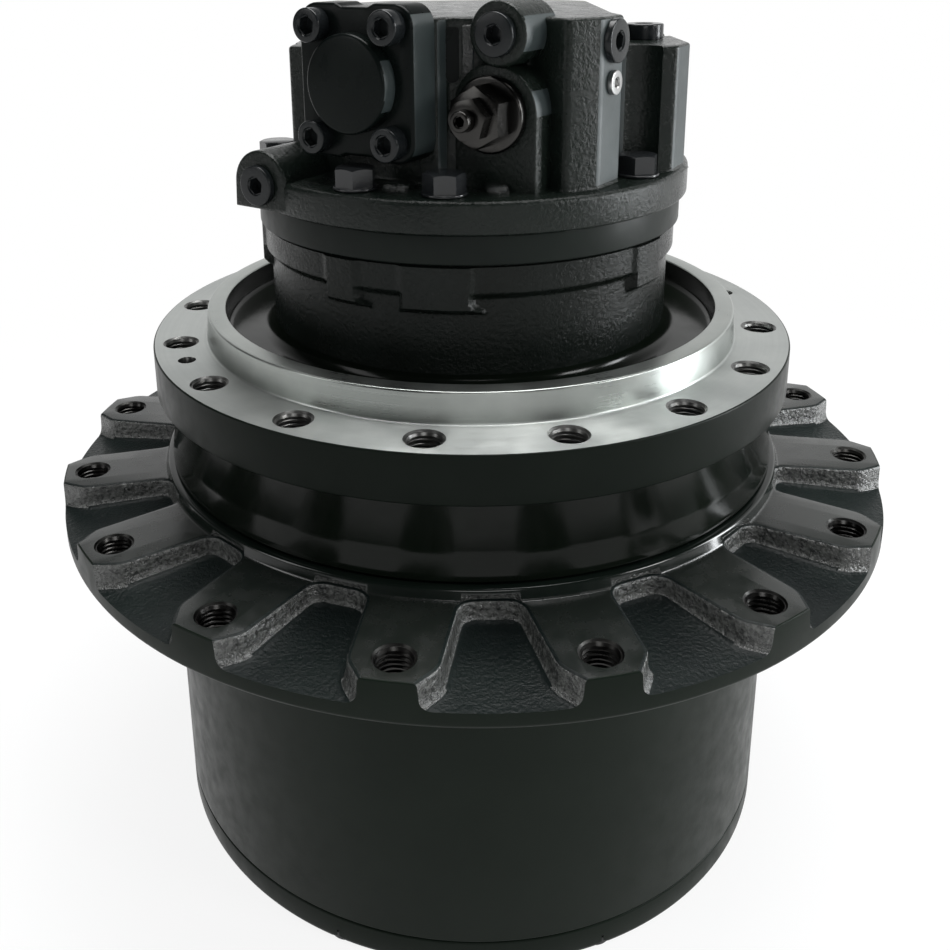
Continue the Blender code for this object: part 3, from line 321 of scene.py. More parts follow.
def baked(ob):
    """Turns the object's modifiers into plain mesh."""
    bpy.context.view_layer.update()
    graph = bpy.context.evaluated_depsgraph_get()
    mesh = bpy.data.meshes.new_from_object(ob.evaluated_get(graph))
    ob.modifiers.clear()
    old = ob.data
    ob.data = mesh
    bpy.data.meshes.remove(old)
    return ob


def combine(target, bm, operation, mats):
    tool = to_object("tool", bm, mats)
    mod = target.modifiers.new("form", "BOOLEAN")
    mod.operation = operation
    mod.solver = "EXACT"
    mod.material_mode = "TRANSFER"
    mod.object = tool
    baked(target)
    tool_mesh = tool.data
    bpy.data.objects.remove(tool, do_unlink=True)
    bpy.data.meshes.remove(tool_mesh)
    return target


def cut(target, bm, mats):
    return combine(target, bm, "DIFFERENCE", mats)


def smooth(ob, angle=32.0):
    for poly in ob.data.polygons:
        poly.use_smooth = True
    ob.data.set_sharp_from_angle(angle=math.radians(angle))
    return ob


def place(ob, body, nodes=()):
    """Hands a finished piece to the frame: its body and the nodes it stands for."""
    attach(ob, body)
    if nodes:
        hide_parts(*nodes)
    return ob


def paint(
    name, dark, light, rough, level, cast=0.0, cast_scale=300.0, peel=0.0, cloud_scale=16.0
):
    """Black paint: cast is the depth of the casting's lumps, peel that of the orange peel.

    The level is how much the gloss shows, and cloud_scale how fine the change of colour is.
    """
    mat, nodes, links, bsdf = shader(name)
    vector = coordinates(nodes, links)
    cloud = noise(nodes, links, vector, scale=cloud_scale, detail=5.0)
    links.new(tinted(nodes, links, cloud, dark, light), bsdf.inputs["Base Color"])
    speck = noise(nodes, links, vector, scale=90.0, detail=4.0)
    links.new(spread(nodes, links, speck, low=rough[0], high=rough[1]), bsdf.inputs["Roughness"])
    bsdf.inputs["Specular IOR Level"].default_value = level
    normal = None
    if cast > 0.0:
        lumps = noise(nodes, links, vector, scale=cast_scale, detail=4.0, rough=0.6)
        normal = bump(nodes, links, lumps, cast)
    if peel > 0.0:
        normal = bump(nodes, links, noise(nodes, links, vector, scale=900.0, detail=2.0), peel, normal)
    if normal is not None:
        links.new(normal, bsdf.inputs["Normal"])
    return mat


DRUM_PAINT = paint(
    "drum satin paint", dark=(0.0040, 0.0070, 0.0045), light=(0.0060, 0.0095, 0.0065),
    rough=(0.30, 0.42), level=0.07, peel=0.00003,
)
PAD_PAINT = paint(
    "milled pad paint", dark=(0.005, 0.007, 0.006), light=(0.010, 0.012, 0.010),
    rough=(0.20, 0.32), level=0.8, peel=0.00002,
)
LIP_PAINT = paint(
    "gloss lip paint", dark=(0.003, 0.005, 0.004), light=(0.006, 0.009, 0.007),
    rough=(0.10, 0.16), level=0.5, peel=0.00001,
)
POCKET_PAINT = paint(
    "pocket floor paint", dark=(0.003, 0.005, 0.005), light=(0.007, 0.011, 0.010),
    rough=(0.26, 0.38), level=0.16, cast=0.0006, cast_scale=460.0,
)
# Pocket walls: gloss paint on rough cast bumps, with a fine pale speckle in the colour that is painted
# glints.
POCKET_WALL_GLINT_PAINT = paint(
    "rough pocket wall paint with painted glints", dark=(0.003, 0.004, 0.004), light=(0.085, 0.088, 0.082),
    rough=(0.14, 0.24), level=1.0, cast=0.0016, cast_scale=400.0, cloud_scale=430.0,
)
HOLE_BLACK = machined(
    "painted hole", dark=(0.020, 0.020, 0.020), light=(0.050, 0.050, 0.047), rough=(0.30, 0.42),
    rings=400.0, depth=0.00002,
)
PADS = 16
PITCH = 2.0 * math.pi / PADS
PAD_PHASE = math.radians(-8.1)
DRUM_R = 0.1975
DRUM_BORE_R = 0.1783
JOINT_Z = 0.0183
RIM_R = 0.2605
RIM_BOTTOM = 0.2128
RIM_TOP = 0.2365
POCKET_FLOOR = 0.2240
SPROCKET_PCD_R = 0.2438
BEARING_BORE_R = 0.1403
LIP_FOOT_R = 0.1985
LIP_R = 0.1968
LIP_EDGE_Z = 0.2430
LIP_CROWN_R = 0.1925
LIP_CROWN_Z = 0.2434
LIP_INNER_R = 0.1915
LIP_INNER_Z = 0.2422
SEAL_BORE_R = 0.172
SEAL_FLOOR_Z = 0.2325
WEB_TOP_Z = 0.202
WEB_BORE_R = 0.132
WEB_LOW_Z = 0.196
BEARING_END_Z = 0.1662
GEAR_SHELF_R = 0.128
GEAR_SHELF_Z = 0.150
hub = to_object(
    "hub_drum_and_sprocket_flange",
    turned_mesh(
        [
            (DRUM_BORE_R, JOINT_Z, 0.0, 0),
            (DRUM_R, JOINT_Z, 0.0012, 0),
            (DRUM_R, RIM_BOTTOM, 0.0075, 0),
            (RIM_R, RIM_BOTTOM, 0.0030, 0),
            (RIM_R, RIM_TOP, 0.0009, 1),
            (LIP_FOOT_R, RIM_TOP, 0.0016, 2),
            (LIP_R, LIP_EDGE_Z, 0.0016, 2),
            (LIP_CROWN_R, LIP_CROWN_Z, 0.0008, 2),
            (LIP_INNER_R, LIP_INNER_Z, 0.0008, 2),
            (SEAL_BORE_R, LIP_INNER_Z, 0.0, 2),
            (SEAL_BORE_R, SEAL_FLOOR_Z, 0.0, 0),
            (BEARING_BORE_R, SEAL_FLOOR_Z, 0.0, 0),
            (BEARING_BORE_R, WEB_TOP_Z, 0.0, 0),
            (WEB_BORE_R, WEB_TOP_Z, 0.0, 0),
            (WEB_BORE_R, WEB_LOW_Z, 0.0, 0),
            (BEARING_BORE_R, WEB_LOW_Z, 0.0, 0),
            (BEARING_BORE_R, BEARING_END_Z, 0.0, 0),
            (GEAR_SHELF_R, BEARING_END_Z, 0.0, 0),
            (GEAR_SHELF_R, GEAR_SHELF_Z, 0.0, 0),
            (DRUM_BORE_R, GEAR_SHELF_Z, 0.0, 0),
        ],
        288,
    ),
    [DRUM_PAINT, PAD_PAINT, LIP_PAINT],
)
# One side of a pocket: distance out, half width, rounding of the corner, material.
pocket_side = [
    (0.1972, 0.0148, 0.0090, 0),
    (0.2475, 0.0262, 0.0150, 0),
    (0.2615, 0.0405, 0.0030, 0),
    (0.2760, 0.0405, 0.0, 0),
]
pocket_corners = [(x, -y, r, m) for x, y, r, m in pocket_side]
pocket_corners += [(x, y, r, m) for x, y, r, m in reversed(pocket_side)]
POCKET_STEP = 0.004
rounded = fillet(pocket_corners, 8)
pocket_outline = []
for i, (x, y, _) in enumerate(rounded):
    next_x, next_y, _ = rounded[(i + 1) % len(rounded)]
    parts = max(1, int(math.hypot(next_x - x, next_y - y) / POCKET_STEP))
    for s in range(parts):
        pocket_outline.append((x + (next_x - x) * s / parts, y + (next_y - y) * s / parts))
FOOT = 0.0048
EDGE = 0.0020
EDGE_GAP = 0.0004
OVER_RIM = 0.0040
FLOOR_FADE = 0.008
FLOOR_MIDDLE_R = 0.2290
FLOOR_SLOPE = 0.06
layers = []
for s in range(7):
    a = math.pi / 2.0 * s / 6.0
    layers.append((-FOOT * (1.0 - math.sin(a)), POCKET_FLOOR + FOOT * (1.0 - math.cos(a))))
for s in range(5):
    a = math.pi / 2.0 * s / 4.0
    layers.append((EDGE_GAP + EDGE * (1.0 - math.cos(a)), RIM_TOP - EDGE + EDGE * math.sin(a)))
layers.append((EDGE_GAP + EDGE, RIM_TOP + OVER_RIM))
pockets = []
for k in range(PADS):
    rings = []
    for d, z in layers:
        ring = []
        for x, y in offset(pocket_outline, d):
            low = max(0.0, 1.0 - (z - POCKET_FLOOR) / FLOOR_FADE)
            ring.append((x, y, z + low * (FLOOR_MIDDLE_R - x) * FLOOR_SLOPE))
        rings.append(ring)
    turn = PAD_PHASE + (k + 0.5) * PITCH - math.pi / 2.0
    pockets.append(moved(loft(rings), Matrix.Rotation(turn, 4, "Z")))
cut(hub, together(pockets), [POCKET_PAINT])
# The steep faces of the pockets take the wall paint, whose pale speckle is painted glints.
WALL_LEAN = 0.75
pocket_slot = len(hub.data.materials) - 1
hub.data.materials.append(POCKET_WALL_GLINT_PAINT)
for poly in hub.data.polygons:
    if poly.material_index == pocket_slot and abs(poly.normal.z) < WALL_LEAN:
        poly.material_index = pocket_slot + 1


def tapped_hole(bottom, top, bore_r=0.0098, sink_r=0.0114):
    """Cutter for a tapped hole with its countersink, bored for M20."""
    return turned_mesh(
        [
            (0.0, bottom, 0.0, 0),
            (bore_r, bottom, 0.0, 0),
            (bore_r, top - 0.0010, 0.0, 0),
            (sink_r, top + 0.0006, 0.0, 0),
            (sink_r, top + 0.003, 0.0, 0),
            (0.0, top + 0.003, 0.0, 0),
        ],
        32,
    )


sprocket_spots = [polar(SPROCKET_PCD_R, PAD_PHASE + k * PITCH) for k in range(PADS)]
SPROCKET_HOLE_END = 0.205
holes = [moved(tapped_hole(SPROCKET_HOLE_END, RIM_TOP), Matrix.Translation(p)) for p in sprocket_spots]
cut(hub, together(holes), [HOLE_BLACK])
smooth(hub, 30.0)
place(hub, "hub", ["hub_housing"])


# Sprocket hole threads: sixteen tapped threads, black inside from the paint.
# One grooved sleeve, repeated on the hole circle.
def pattern(name, points, template, mat, jitter=0.0, seed=5):
    """Repeats a template on points with a geometry tree and bakes the result to plain mesh."""
    tree = bpy.data.node_groups.new(name + " pattern", "GeometryNodeTree")
    face = tree.interface
    face.new_socket(name="Points", in_out="INPUT", socket_type="NodeSocketGeometry")
    sockets = {
        "piece": face.new_socket(name="Piece", in_out="INPUT", socket_type="NodeSocketObject"),
        "size": face.new_socket(name="Size", in_out="INPUT", socket_type="NodeSocketFloat"),
        "turn": face.new_socket(name="Largest turn", in_out="INPUT", socket_type="NodeSocketFloat"),
        "seed": face.new_socket(name="Seed", in_out="INPUT", socket_type="NodeSocketInt"),
        "mat": face.new_socket(name="Material", in_out="INPUT", socket_type="NodeSocketMaterial"),
    }
    face.new_socket(name="Pieces", in_out="OUTPUT", socket_type="NodeSocketGeometry")
    nodes = tree.nodes
    links = tree.links
    source = nodes.new("NodeGroupInput")
    sink = nodes.new("NodeGroupOutput")
    info = nodes.new("GeometryNodeObjectInfo")
    scatter = nodes.new("GeometryNodeInstanceOnPoints")
    chance = nodes.new("FunctionNodeRandomValue")
    negative = nodes.new("ShaderNodeMath")
    negative.operation = "MULTIPLY"
    negative.inputs[1].default_value = -1.0
    angle = nodes.new("ShaderNodeCombineXYZ")
    real = nodes.new("GeometryNodeRealizeInstances")
    dress = nodes.new("GeometryNodeSetMaterial")
    links.new(source.outputs["Points"], scatter.inputs["Points"])
    links.new(source.outputs["Piece"], info.inputs["Object"])
    links.new(info.outputs["Geometry"], scatter.inputs["Instance"])
    links.new(source.outputs["Largest turn"], negative.inputs[0])
    links.new(negative.outputs["Value"], chance.inputs[2])
    links.new(source.outputs["Largest turn"], chance.inputs[3])
    links.new(source.outputs["Seed"], chance.inputs["Seed"])
    links.new(chance.outputs[1], angle.inputs["Z"])
    links.new(angle.outputs["Vector"], scatter.inputs["Rotation"])
    links.new(source.outputs["Size"], scatter.inputs["Scale"])
    links.new(scatter.outputs["Instances"], real.inputs["Geometry"])
    links.new(real.outputs["Geometry"], dress.inputs["Geometry"])
    links.new(source.outputs["Material"], dress.inputs["Material"])
    links.new(dress.outputs["Geometry"], sink.inputs["Pieces"])
    mesh = bpy.data.meshes.new(name)
    mesh.from_pydata([tuple(p) for p in points], [], [])
    ob = bpy.data.objects.new(name, mesh)
    scene.collection.objects.link(ob)
    mod = ob.modifiers.new("pattern", "NODES")
    mod.node_group = tree
    mod[sockets["piece"].identifier] = template
    mod[sockets["size"].identifier] = 1.0
    mod[sockets["turn"].identifier] = jitter
    mod[sockets["seed"].identifier] = seed
    mod[sockets["mat"].identifier] = mat
    baked(ob)
    template_mesh = template.data
    bpy.data.objects.remove(template, do_unlink=True)
    bpy.data.meshes.remove(template_mesh)
    return smooth(ob)


def thread_sleeve(bottom, top, mat, bore=0.0087, outer=0.00995, pitch=0.0025):
    """Sleeve with V grooves inside, which fills the wall of a tapped hole."""
    points = [(outer, bottom, 0.0, 0), (bore, bottom, 0.0, 0)]
    z = bottom
    while z + pitch < top:
        points.append((bore, z + pitch * 0.12, 0.0, 0))
        points.append((bore + pitch * 0.5, z + pitch * 0.5, 0.0, 0))
        points.append((bore, z + pitch * 0.88, 0.0, 0))
        z += pitch
    points.append((bore + (top - z) * 0.5, top, 0.0, 0))
    points.append((outer, top, 0.0, 0))
    return to_object("sleeve", turned_mesh(points, 36), [mat])


THREAD_BLACK = machined(
    "black thread", dark=(0.030, 0.030, 0.030), light=(0.090, 0.088, 0.084), rough=(0.22, 0.34),
    rings=400.0, depth=0.00002,
)
sleeve = thread_sleeve(0.2140, RIM_TOP - 0.0010, THREAD_BLACK)
place(pattern("sprocket_hole_threads", sprocket_spots, sleeve, THREAD_BLACK), "hub")

# End cover: a turned plate below the drum, seated on it with a fine joint line.
# Painted with the drum; recesses for eight socket bolts and two plugs, spigot and thrust button inside.
COVER_BOLTS = 8
COVER_BOLT_PCD_R = 0.186
COVER_BOLT_SEAT = 0.0083
COVER_PLUG_PCD_R = 0.110
COVER_PLUG_SEAT = 0.003
COVER_EDGE_Z = 0.0180
COVER_SPIGOT_R = 0.1780
COVER_SPIGOT_Z = 0.0260
DISH_TOP_R = 0.1529
DISH_FLOOR_R = 0.1469
DISH_FLOOR_Z = 0.0140
BUTTON_FOOT_R = 0.040
BUTTON_R = 0.020
BUTTON_TOP_Z = 0.0340
COVER_BOLT_PITCH = 2.0 * math.pi / COVER_BOLTS
COVER_BOLT_SPOTS = [
    polar(COVER_BOLT_PCD_R, (k + 0.5) * COVER_BOLT_PITCH, COVER_BOLT_SEAT) for k in range(COVER_BOLTS)
]
COVER_PLUG_SPOTS = [polar(COVER_PLUG_PCD_R, k * math.pi / 2.0, COVER_PLUG_SEAT) for k in range(2)]
cover = to_object(
    "end_cover_plate",
    turned_mesh(
        [
            (0.0, 0.0, 0.0, 0),
            (DRUM_R, 0.0, 0.0045, 0),
            (DRUM_R, COVER_EDGE_Z, 0.0012, 0),
            (COVER_SPIGOT_R, COVER_EDGE_Z, 0.0, 0),
            (COVER_SPIGOT_R, COVER_SPIGOT_Z, 0.0, 0),
            (DISH_TOP_R, COVER_SPIGOT_Z, 0.0, 0),
            (DISH_FLOOR_R, DISH_FLOOR_Z, 0.0, 0),
            (BUTTON_FOOT_R, DISH_FLOOR_Z, 0.0, 0),
            (BUTTON_R, COVER_SPIGOT_Z, 0.0, 0),
            (BUTTON_R, BUTTON_TOP_Z, 0.0, 0),
            (0.0, BUTTON_TOP_Z, 0.0, 0),
        ],
        256,
    ),
    [DRUM_PAINT],
)
recesses = []
for spots, head_r, shank_r in ((COVER_BOLT_SPOTS, 0.01155, 0.0066), (COVER_PLUG_SPOTS, 0.017, 0.0125)):
    for spot in spots:
        recess = turned_mesh(
            [
                (0.0, -0.004, 0.0, 0),
                (head_r, -0.004, 0.0, 0),
                (head_r, spot.z, 0.0, 0),
                (shank_r, spot.z, 0.0, 0),
                (shank_r, 0.0200, 0.0, 0),
                (0.0, 0.0200, 0.0, 0),
            ],
            32,
        )
        recesses.append(moved(recess, Matrix.Translation((spot.x, spot.y, 0.0))))
cut(cover, together(recesses), [DRUM_PAINT])
smooth(cover)
place(cover, "hub", ["end_cover"])


# End cover bolts and plugs: eight socket screws and two oil plugs, dark steel.
# Turned heads with a hexagon socket, screwed in from below.
def ring_points(radius, count, centre=(0.0, 0.0), phase=0.0):
    return [
        (
            centre[0] + radius * math.cos(phase + 2.0 * math.pi * i / count),
            centre[1] + radius * math.sin(phase + 2.0 * math.pi * i / count),
        )
        for i in range(count)
    ]


def slab(outline, z0, z1, top=0.0, foot=0.0, steps=4):
    """Extruded outline; top rounds its upper edge, foot spreads it into what it stands on."""
    layers = []
    for s in range(steps + 1 if foot > 0.0 else 0):
        a = math.pi / 2.0 * s / steps
        layers.append((foot * (1.0 - math.sin(a)), z0 + foot * (1.0 - math.cos(a))))
    if not layers:
        layers.append((0.0, z0))
    for s in range(steps + 1 if top > 0.0 else 0):
        a = math.pi / 2.0 * s / steps
        layers.append((-top * (1.0 - math.cos(a)), z1 - top * (1.0 - math.sin(a))))
    if top <= 0.0:
        layers.append((0.0, z1))
    return loft([[(x, y, z) for x, y in offset(outline, d)] for d, z in layers])


def facing(origin, outward):
    """Local Z along outward and local Y as near to world Z as it can be."""
    axis = Vector(outward).normalized()
    side = Vector((0.0, 0.0, 1.0)).cross(axis)
    if side.length < 1e-6:
        side = Vector((1.0, 0.0, 0.0))
    side.normalize()
    turn = Matrix((side, axis.cross(side), axis)).transposed().to_4x4()
    return Matrix.Translation(Vector(origin)) @ turn


def socket_head(name, head_r, head_h, shank_r, depth, socket_r, mat, edge=0.001, floor=0.3):
    """Round head with a hexagon socket, on its shank; the seat is at z = 0.

    The edge rounds the head, and floor is the depth of the socket's floor as a share of its height.
    """
    profile = [
        (0.0, -depth, 0.0, 0),
        (shank_r, -depth, 0.0, 0),
        (shank_r, 0.0003, 0.0, 0),
        (head_r, 0.0003, 0.0002, 0),
        (head_r, head_h, edge, 0),
        (socket_r * 1.12, head_h, 0.0, 0),
        (socket_r, head_h - 0.0008, 0.0, 0),
        (0.0, head_h - 0.0008, 0.0, 0),
    ]
    ob = to_object(name, turned_mesh(profile, 40), [mat])
    return cut(ob, slab(ring_points(socket_r, 6, phase=0.35), head_h * floor, head_h + 0.002), [mat])


SCREW_BLACK = paint(
    "black screw", dark=(0.006, 0.007, 0.008), light=(0.010, 0.012, 0.012), rough=(0.16, 0.28),
    level=0.25, cast=0.00008, cast_scale=500.0,
)
screw = socket_head(
    "screw", head_r=0.0105, head_h=0.008, shank_r=0.006, depth=0.026, socket_r=0.005,
    mat=SCREW_BLACK,
)
screw.data.transform(facing((0.0, 0.0, 0.0), (0.0, 0.0, -1.0)))
screws = pattern("end_cover_screws", COVER_BOLT_SPOTS, screw, SCREW_BLACK)
place(screws, "hub", ["cover_bolt_%d" % (k + 1) for k in range(COVER_BOLTS)])
for name, spot in zip(("drain", "level"), COVER_PLUG_SPOTS):
    plug = socket_head(
        name + "_oil_plug", head_r=0.016, head_h=0.0029, shank_r=0.012, depth=0.010,
        socket_r=0.006, mat=SCREW_BLACK, edge=0.0006,
    )
    plug.data.transform(facing(spot, (0.0, 0.0, -1.0)))
    smooth(plug)
    place(plug, "hub", [name + "_plug"])

# Spindle casting: bearing tube, gloss neck, bare turned frame flange with its spigot, motor housing.
# One casting, turned where it seats: the flange face and the spigot are bare steel, the rest is
# painted black, and the wall of the motor steps down in a boss below each bolt of the valve cover.
NECK_PAINT = paint(
    "gloss neck paint", dark=(0.002, 0.003, 0.002), light=(0.004, 0.006, 0.004),
    rough=(0.12, 0.20), level=0.16, peel=0.000012,
)
EDGE_PAINT = paint(
    "flange edge paint", dark=(0.0030, 0.0050, 0.0035), light=(0.0050, 0.0075, 0.0055),
    rough=(0.28, 0.38), level=0.07, peel=0.00002,
)
MOTOR_PAINT = paint(
    "motor cast paint", dark=(0.003, 0.004, 0.003), light=(0.007, 0.009, 0.008),
    rough=(0.18, 0.32), level=0.16, cast=0.0006, cast_scale=460.0,
)
RING_PAINT = paint(
    "satin ring paint", dark=(0.004, 0.006, 0.005), light=(0.007, 0.010, 0.008),
    rough=(0.34, 0.44), level=0.12, peel=0.00002,
)
FLANGE_STEEL = machined(
    "turned flange steel", dark=(0.36, 0.38, 0.37), light=(0.52, 0.54, 0.52), rough=(0.34, 0.48),
    lay=0.7,
)
SPIGOT_STEEL = machined(
    "turned spigot steel", dark=(0.28, 0.30, 0.285), light=(0.42, 0.44, 0.42),
    rough=(0.26, 0.38),
)
THREAD_STEEL = machined(
    "thread steel", dark=(0.10, 0.10, 0.10), light=(0.22, 0.22, 0.21), rough=(0.28, 0.40),
    rings=400.0, depth=0.00002,
)
TUBE_END_Z = 0.1563
TUBE_R = 0.105
TUBE_SHOULDER_Z = 0.2315
SHOULDER_R = 0.116
SEAL_CONE_R = 0.1449
SKIRT_Z = 0.2445
SKIRT_R = 0.1935
SHAFT_BORE_R = 0.040
MOTOR_BORE_R = 0.0960
MOTOR_FLOOR_Z = 0.2500
SPIGOT_R = 0.1672
SPIGOT_TOP_R = 0.1660
SPIGOT_TOP = 0.3355
RECESS_R = 0.1550
RECESS_Z = 0.3195
RING_FOOT_R = 0.1260
RING_R = 0.1300
FLANGE_R = 0.200
FLANGE_BOTTOM = 0.2905
FLANGE_TOP = 0.318
NECK_R = 0.1915
MOTOR_R = 0.1240
BAND_R = 0.1275
BAND_Z = 0.3725
RING_Z = 0.3905
MOTOR_TOP = 0.407
BOSS_DROP = 0.0088
BOSS_HALF_W = (0.014, 0.011, 0.0195, 0.014, 0.014, 0.014, 0.014, 0.014)
BOSS_FLARE = 0.0060
BOSS_SHIFT = 0.0040
BOSS_SWELL = 0.0019
WALL_SOFT = 0.0046
WALL_SEGMENTS = 600
FLARE_HEIGHT = 0.006
BOLT_PCD_R = 0.117
BOLT_AZIMUTHS = [math.radians(a) for a in (-82.0, -31.0, -6.0, 54.0, 100.0, 140.0, 180.0, -130.0)]
# Heights of the wall's rows, closest together where the bosses step down.
wall_rows = [0.345, 0.352, 0.357, 0.360] + [0.3610 + 0.0008 * i for i in range(20)] + [0.379, 0.384, 0.3888]
spindle_bm = turned_mesh(
    [
        (SHAFT_BORE_R, TUBE_END_Z, 0.0, 0),
        (TUBE_R, TUBE_END_Z, 0.0, 0),
        (TUBE_R, TUBE_SHOULDER_Z, 0.0, 0),
        (SHOULDER_R, TUBE_SHOULDER_Z, 0.0, 0),
        (SEAL_CONE_R, SKIRT_Z, 0.0, 0),
        (SKIRT_R, SKIRT_Z, 0.0010, 0),
        (SKIRT_R, 0.2480, 0.0100, 0),
        (NECK_R, 0.2600, 0.0200, 0),
        (NECK_R, FLANGE_BOTTOM, 0.0030, 1),
        (FLANGE_R, FLANGE_BOTTOM, 0.0010, 1),
        (FLANGE_R, FLANGE_TOP, 0.0009, 2),
        (SPIGOT_R, FLANGE_TOP, 0.0012, 3),
        (SPIGOT_TOP_R, SPIGOT_TOP, 0.0012, 3),
        (RECESS_R, SPIGOT_TOP, 0.0008, 0),
        (RECESS_R, RECESS_Z, 0.0040, 0),
        (MOTOR_R, RECESS_Z, 0.0080, 4),
    ]
    + [(MOTOR_R, z, 0.0, 4) for z in wall_rows]
    + [
        (RING_FOOT_R, RING_Z - 0.0012, 0.0, 4),
        (RING_FOOT_R, RING_Z - 0.0002, 0.0, 5),
        (RING_R, RING_Z, 0.0010, 5),
        (RING_R, MOTOR_TOP, 0.0012, 5),
        (MOTOR_BORE_R, MOTOR_TOP, 0.0, 0),
        (MOTOR_BORE_R, MOTOR_FLOOR_Z, 0.0, 0),
        (SHAFT_BORE_R, MOTOR_FLOOR_Z, 0.0, 0),
    ],
    WALL_SEGMENTS,
)


def eased(value):
    """Smooth step from 0 to 1, for a soft edge."""
    value = max(0.0, min(1.0, value))
    return value * value * (3.0 - 2.0 * value)


for v in spindle_bm.verts:
    if not (0.3435 < v.co.z < 0.3890 and 0.118 < math.hypot(v.co.x, v.co.y) < 0.131):
        continue
    azimuth = math.atan2(v.co.x, -v.co.y)
    inside = v.co.z - BAND_Z
    swell = 0.0
    for k, bolt_azimuth in enumerate(BOLT_AZIMUTHS):
        turn = (azimuth - bolt_azimuth + math.pi) % (2.0 * math.pi) - math.pi
        along = turn * BAND_R + BOSS_SHIFT
        above = v.co.z - (BAND_Z - BOSS_DROP)
        half_w = BOSS_HALF_W[k]
        flare = BOSS_FLARE * max(0.0, 1.0 - max(0.0, above) / FLARE_HEIGHT) ** 2
        across = min(along + half_w, half_w + flare - along)
        inside = max(inside, min(across, above))
        swell = max(swell, eased(across / WALL_SOFT + 0.5))
    step = eased(inside / WALL_SOFT + 0.5)
    radius = MOTOR_R + (BAND_R - MOTOR_R + BOSS_SWELL * swell) * step
    v.co.x, v.co.y = radius * math.sin(azimuth), -radius * math.cos(azimuth)
spindle = to_object(
    "spindle_with_frame_flange_and_motor_housing",
    spindle_bm,
    [NECK_PAINT, EDGE_PAINT, FLANGE_STEEL, SPIGOT_STEEL, MOTOR_PAINT, RING_PAINT],
)
FRAME_PCD_R = 0.1833
frame_spots = [polar(FRAME_PCD_R, math.radians(-6.8) + k * PITCH) for k in range(16) if k != 5]
FRAME_HOLE_END = 0.2930
DOWEL_R = 0.005
DOWEL_SINK_R = 0.0056
DOWEL_END = 0.304
DOWEL_TOP = 0.3186
holes = [moved(tapped_hole(FRAME_HOLE_END, FLANGE_TOP), Matrix.Translation(p)) for p in frame_spots]
for degrees in (105.0, -64.5):
    dowel_hole = turned_mesh(
        [
            (0.0, DOWEL_END, 0.0, 0),
            (DOWEL_R, DOWEL_END, 0.0, 0),
            (DOWEL_R, 0.3175, 0.0, 0),
            (DOWEL_SINK_R, DOWEL_TOP, 0.0, 0),
            (0.0, DOWEL_TOP, 0.0, 0),
        ],
        24,
    )
    holes.append(moved(dowel_hole, Matrix.Translation(polar(FRAME_PCD_R, math.radians(degrees)))))
BOLT_HOLE_R = 0.0066
BOLT_HOLE_END = 0.383
for azimuth in BOLT_AZIMUTHS:
    bolt_hole = slab(ring_points(BOLT_HOLE_R, 20), BOLT_HOLE_END, MOTOR_TOP + 0.002)
    holes.append(moved(bolt_hole, Matrix.Translation(polar(BOLT_PCD_R, azimuth))))
cut(spindle, together(holes), [THREAD_STEEL])
smooth(spindle, 30.0)
place(spindle, "frame", ["spindle_housing"])

# Frame hole threads: fifteen tapped threads of bare cut metal in the frame flange.
# The sixteenth place on the hole circle is left undrilled, as in the photograph.
sleeve = thread_sleeve(0.2932, FLANGE_TOP - 0.0011, THREAD_STEEL)
place(pattern("frame_hole_threads", frame_spots, sleeve, THREAD_STEEL), "frame")

# Valve cover: the cast end of the motor, a block on a round flange, under gloss black paint.
# It carries the cheek for the counterbalance cap, the arch of the relief valve, a lug, two side
# blocks and the oil ports; only the seats of caps and plugs are milled.
VALVE_PAINT = paint(
    "valve cover paint", dark=(0.003, 0.005, 0.004), light=(0.007, 0.010, 0.008),
    rough=(0.18, 0.32), level=0.22, cast=0.0006, cast_scale=460.0,
)
ROUGH_PAINT = paint(
    "rough casting paint", dark=(0.004, 0.006, 0.005), light=(0.012, 0.014, 0.013),
    rough=(0.12, 0.22), level=0.9, cast=0.0016, cast_scale=400.0,
)
SMOOTH_PAINT = paint(
    "milled face paint", dark=(0.002, 0.003, 0.003), light=(0.004, 0.006, 0.005),
    rough=(0.24, 0.34), level=0.08, peel=0.00003,
)
UP = Vector((0.0, 0.0, 1.0))
YAW = math.radians(-33.0)
N_DIR = Vector((math.sin(YAW), -math.cos(YAW), 0.0))
T_DIR = Vector((math.cos(YAW), math.sin(YAW), 0.0))
FLANGE_LOW = 0.4073
FLANGE_HIGH = 0.4253
BODY_TOP = 0.514
CHEEK_N = 0.090
CAP_W = 0.0755
CAP_H = 0.0825
CAP_ALONG = 0.0005
CAP_SCREW_W = 0.0498
CAP_SCREW_H = 0.0595
NOSE_LEFT = Vector((0.050, -0.1135, 0.0))
NOSE_RIGHT = Vector((0.069, -0.1045, 0.0))
SIDE_BACK = NOSE_RIGHT - N_DIR * 0.0235
RIGHT_X = 0.079
STEP_Y = -0.0905
ARCH_R = 0.0258
LUG_HALF_W = 0.0193
FLANGE_EDGE_R = 0.134
REAR_Y = 0.098
LEFT_BLOCK_TOP = 0.495
REAR_BLOCK_TOP = 0.4955
# How far a face must turn to the right, and how high it must stand, to get the painted sheen.
SHEEN_FACING = 0.86
SHEEN_ABOVE = 0.445


def flat_outline(points, steps=5):
    return [(x, y) for x, y, _ in fillet([(x, y, r, 0) for x, y, r in points], steps)]


def add(target, bm, mats):
    return combine(target, bm, "UNION", mats)


def arched(half_w, low, steps=24):
    """Outline with a round top, centred on the origin, standing on low."""
    angles = [math.pi * i / steps for i in range(steps + 1)]
    top = [(half_w * math.cos(a), half_w * math.sin(a)) for a in angles]
    return [(-half_w, low), (half_w, low)] + top


# Painted sheen: a paler, bluish, duller paint for the faces turned to the right, standing in for the light
# that falls on them.
PAINTED_SHEEN_PAINT = paint(
    "side face painted sheen", dark=(0.012, 0.019, 0.019), light=(0.032, 0.042, 0.043),
    rough=(0.45, 0.55), level=0.5, peel=0.00004,
)


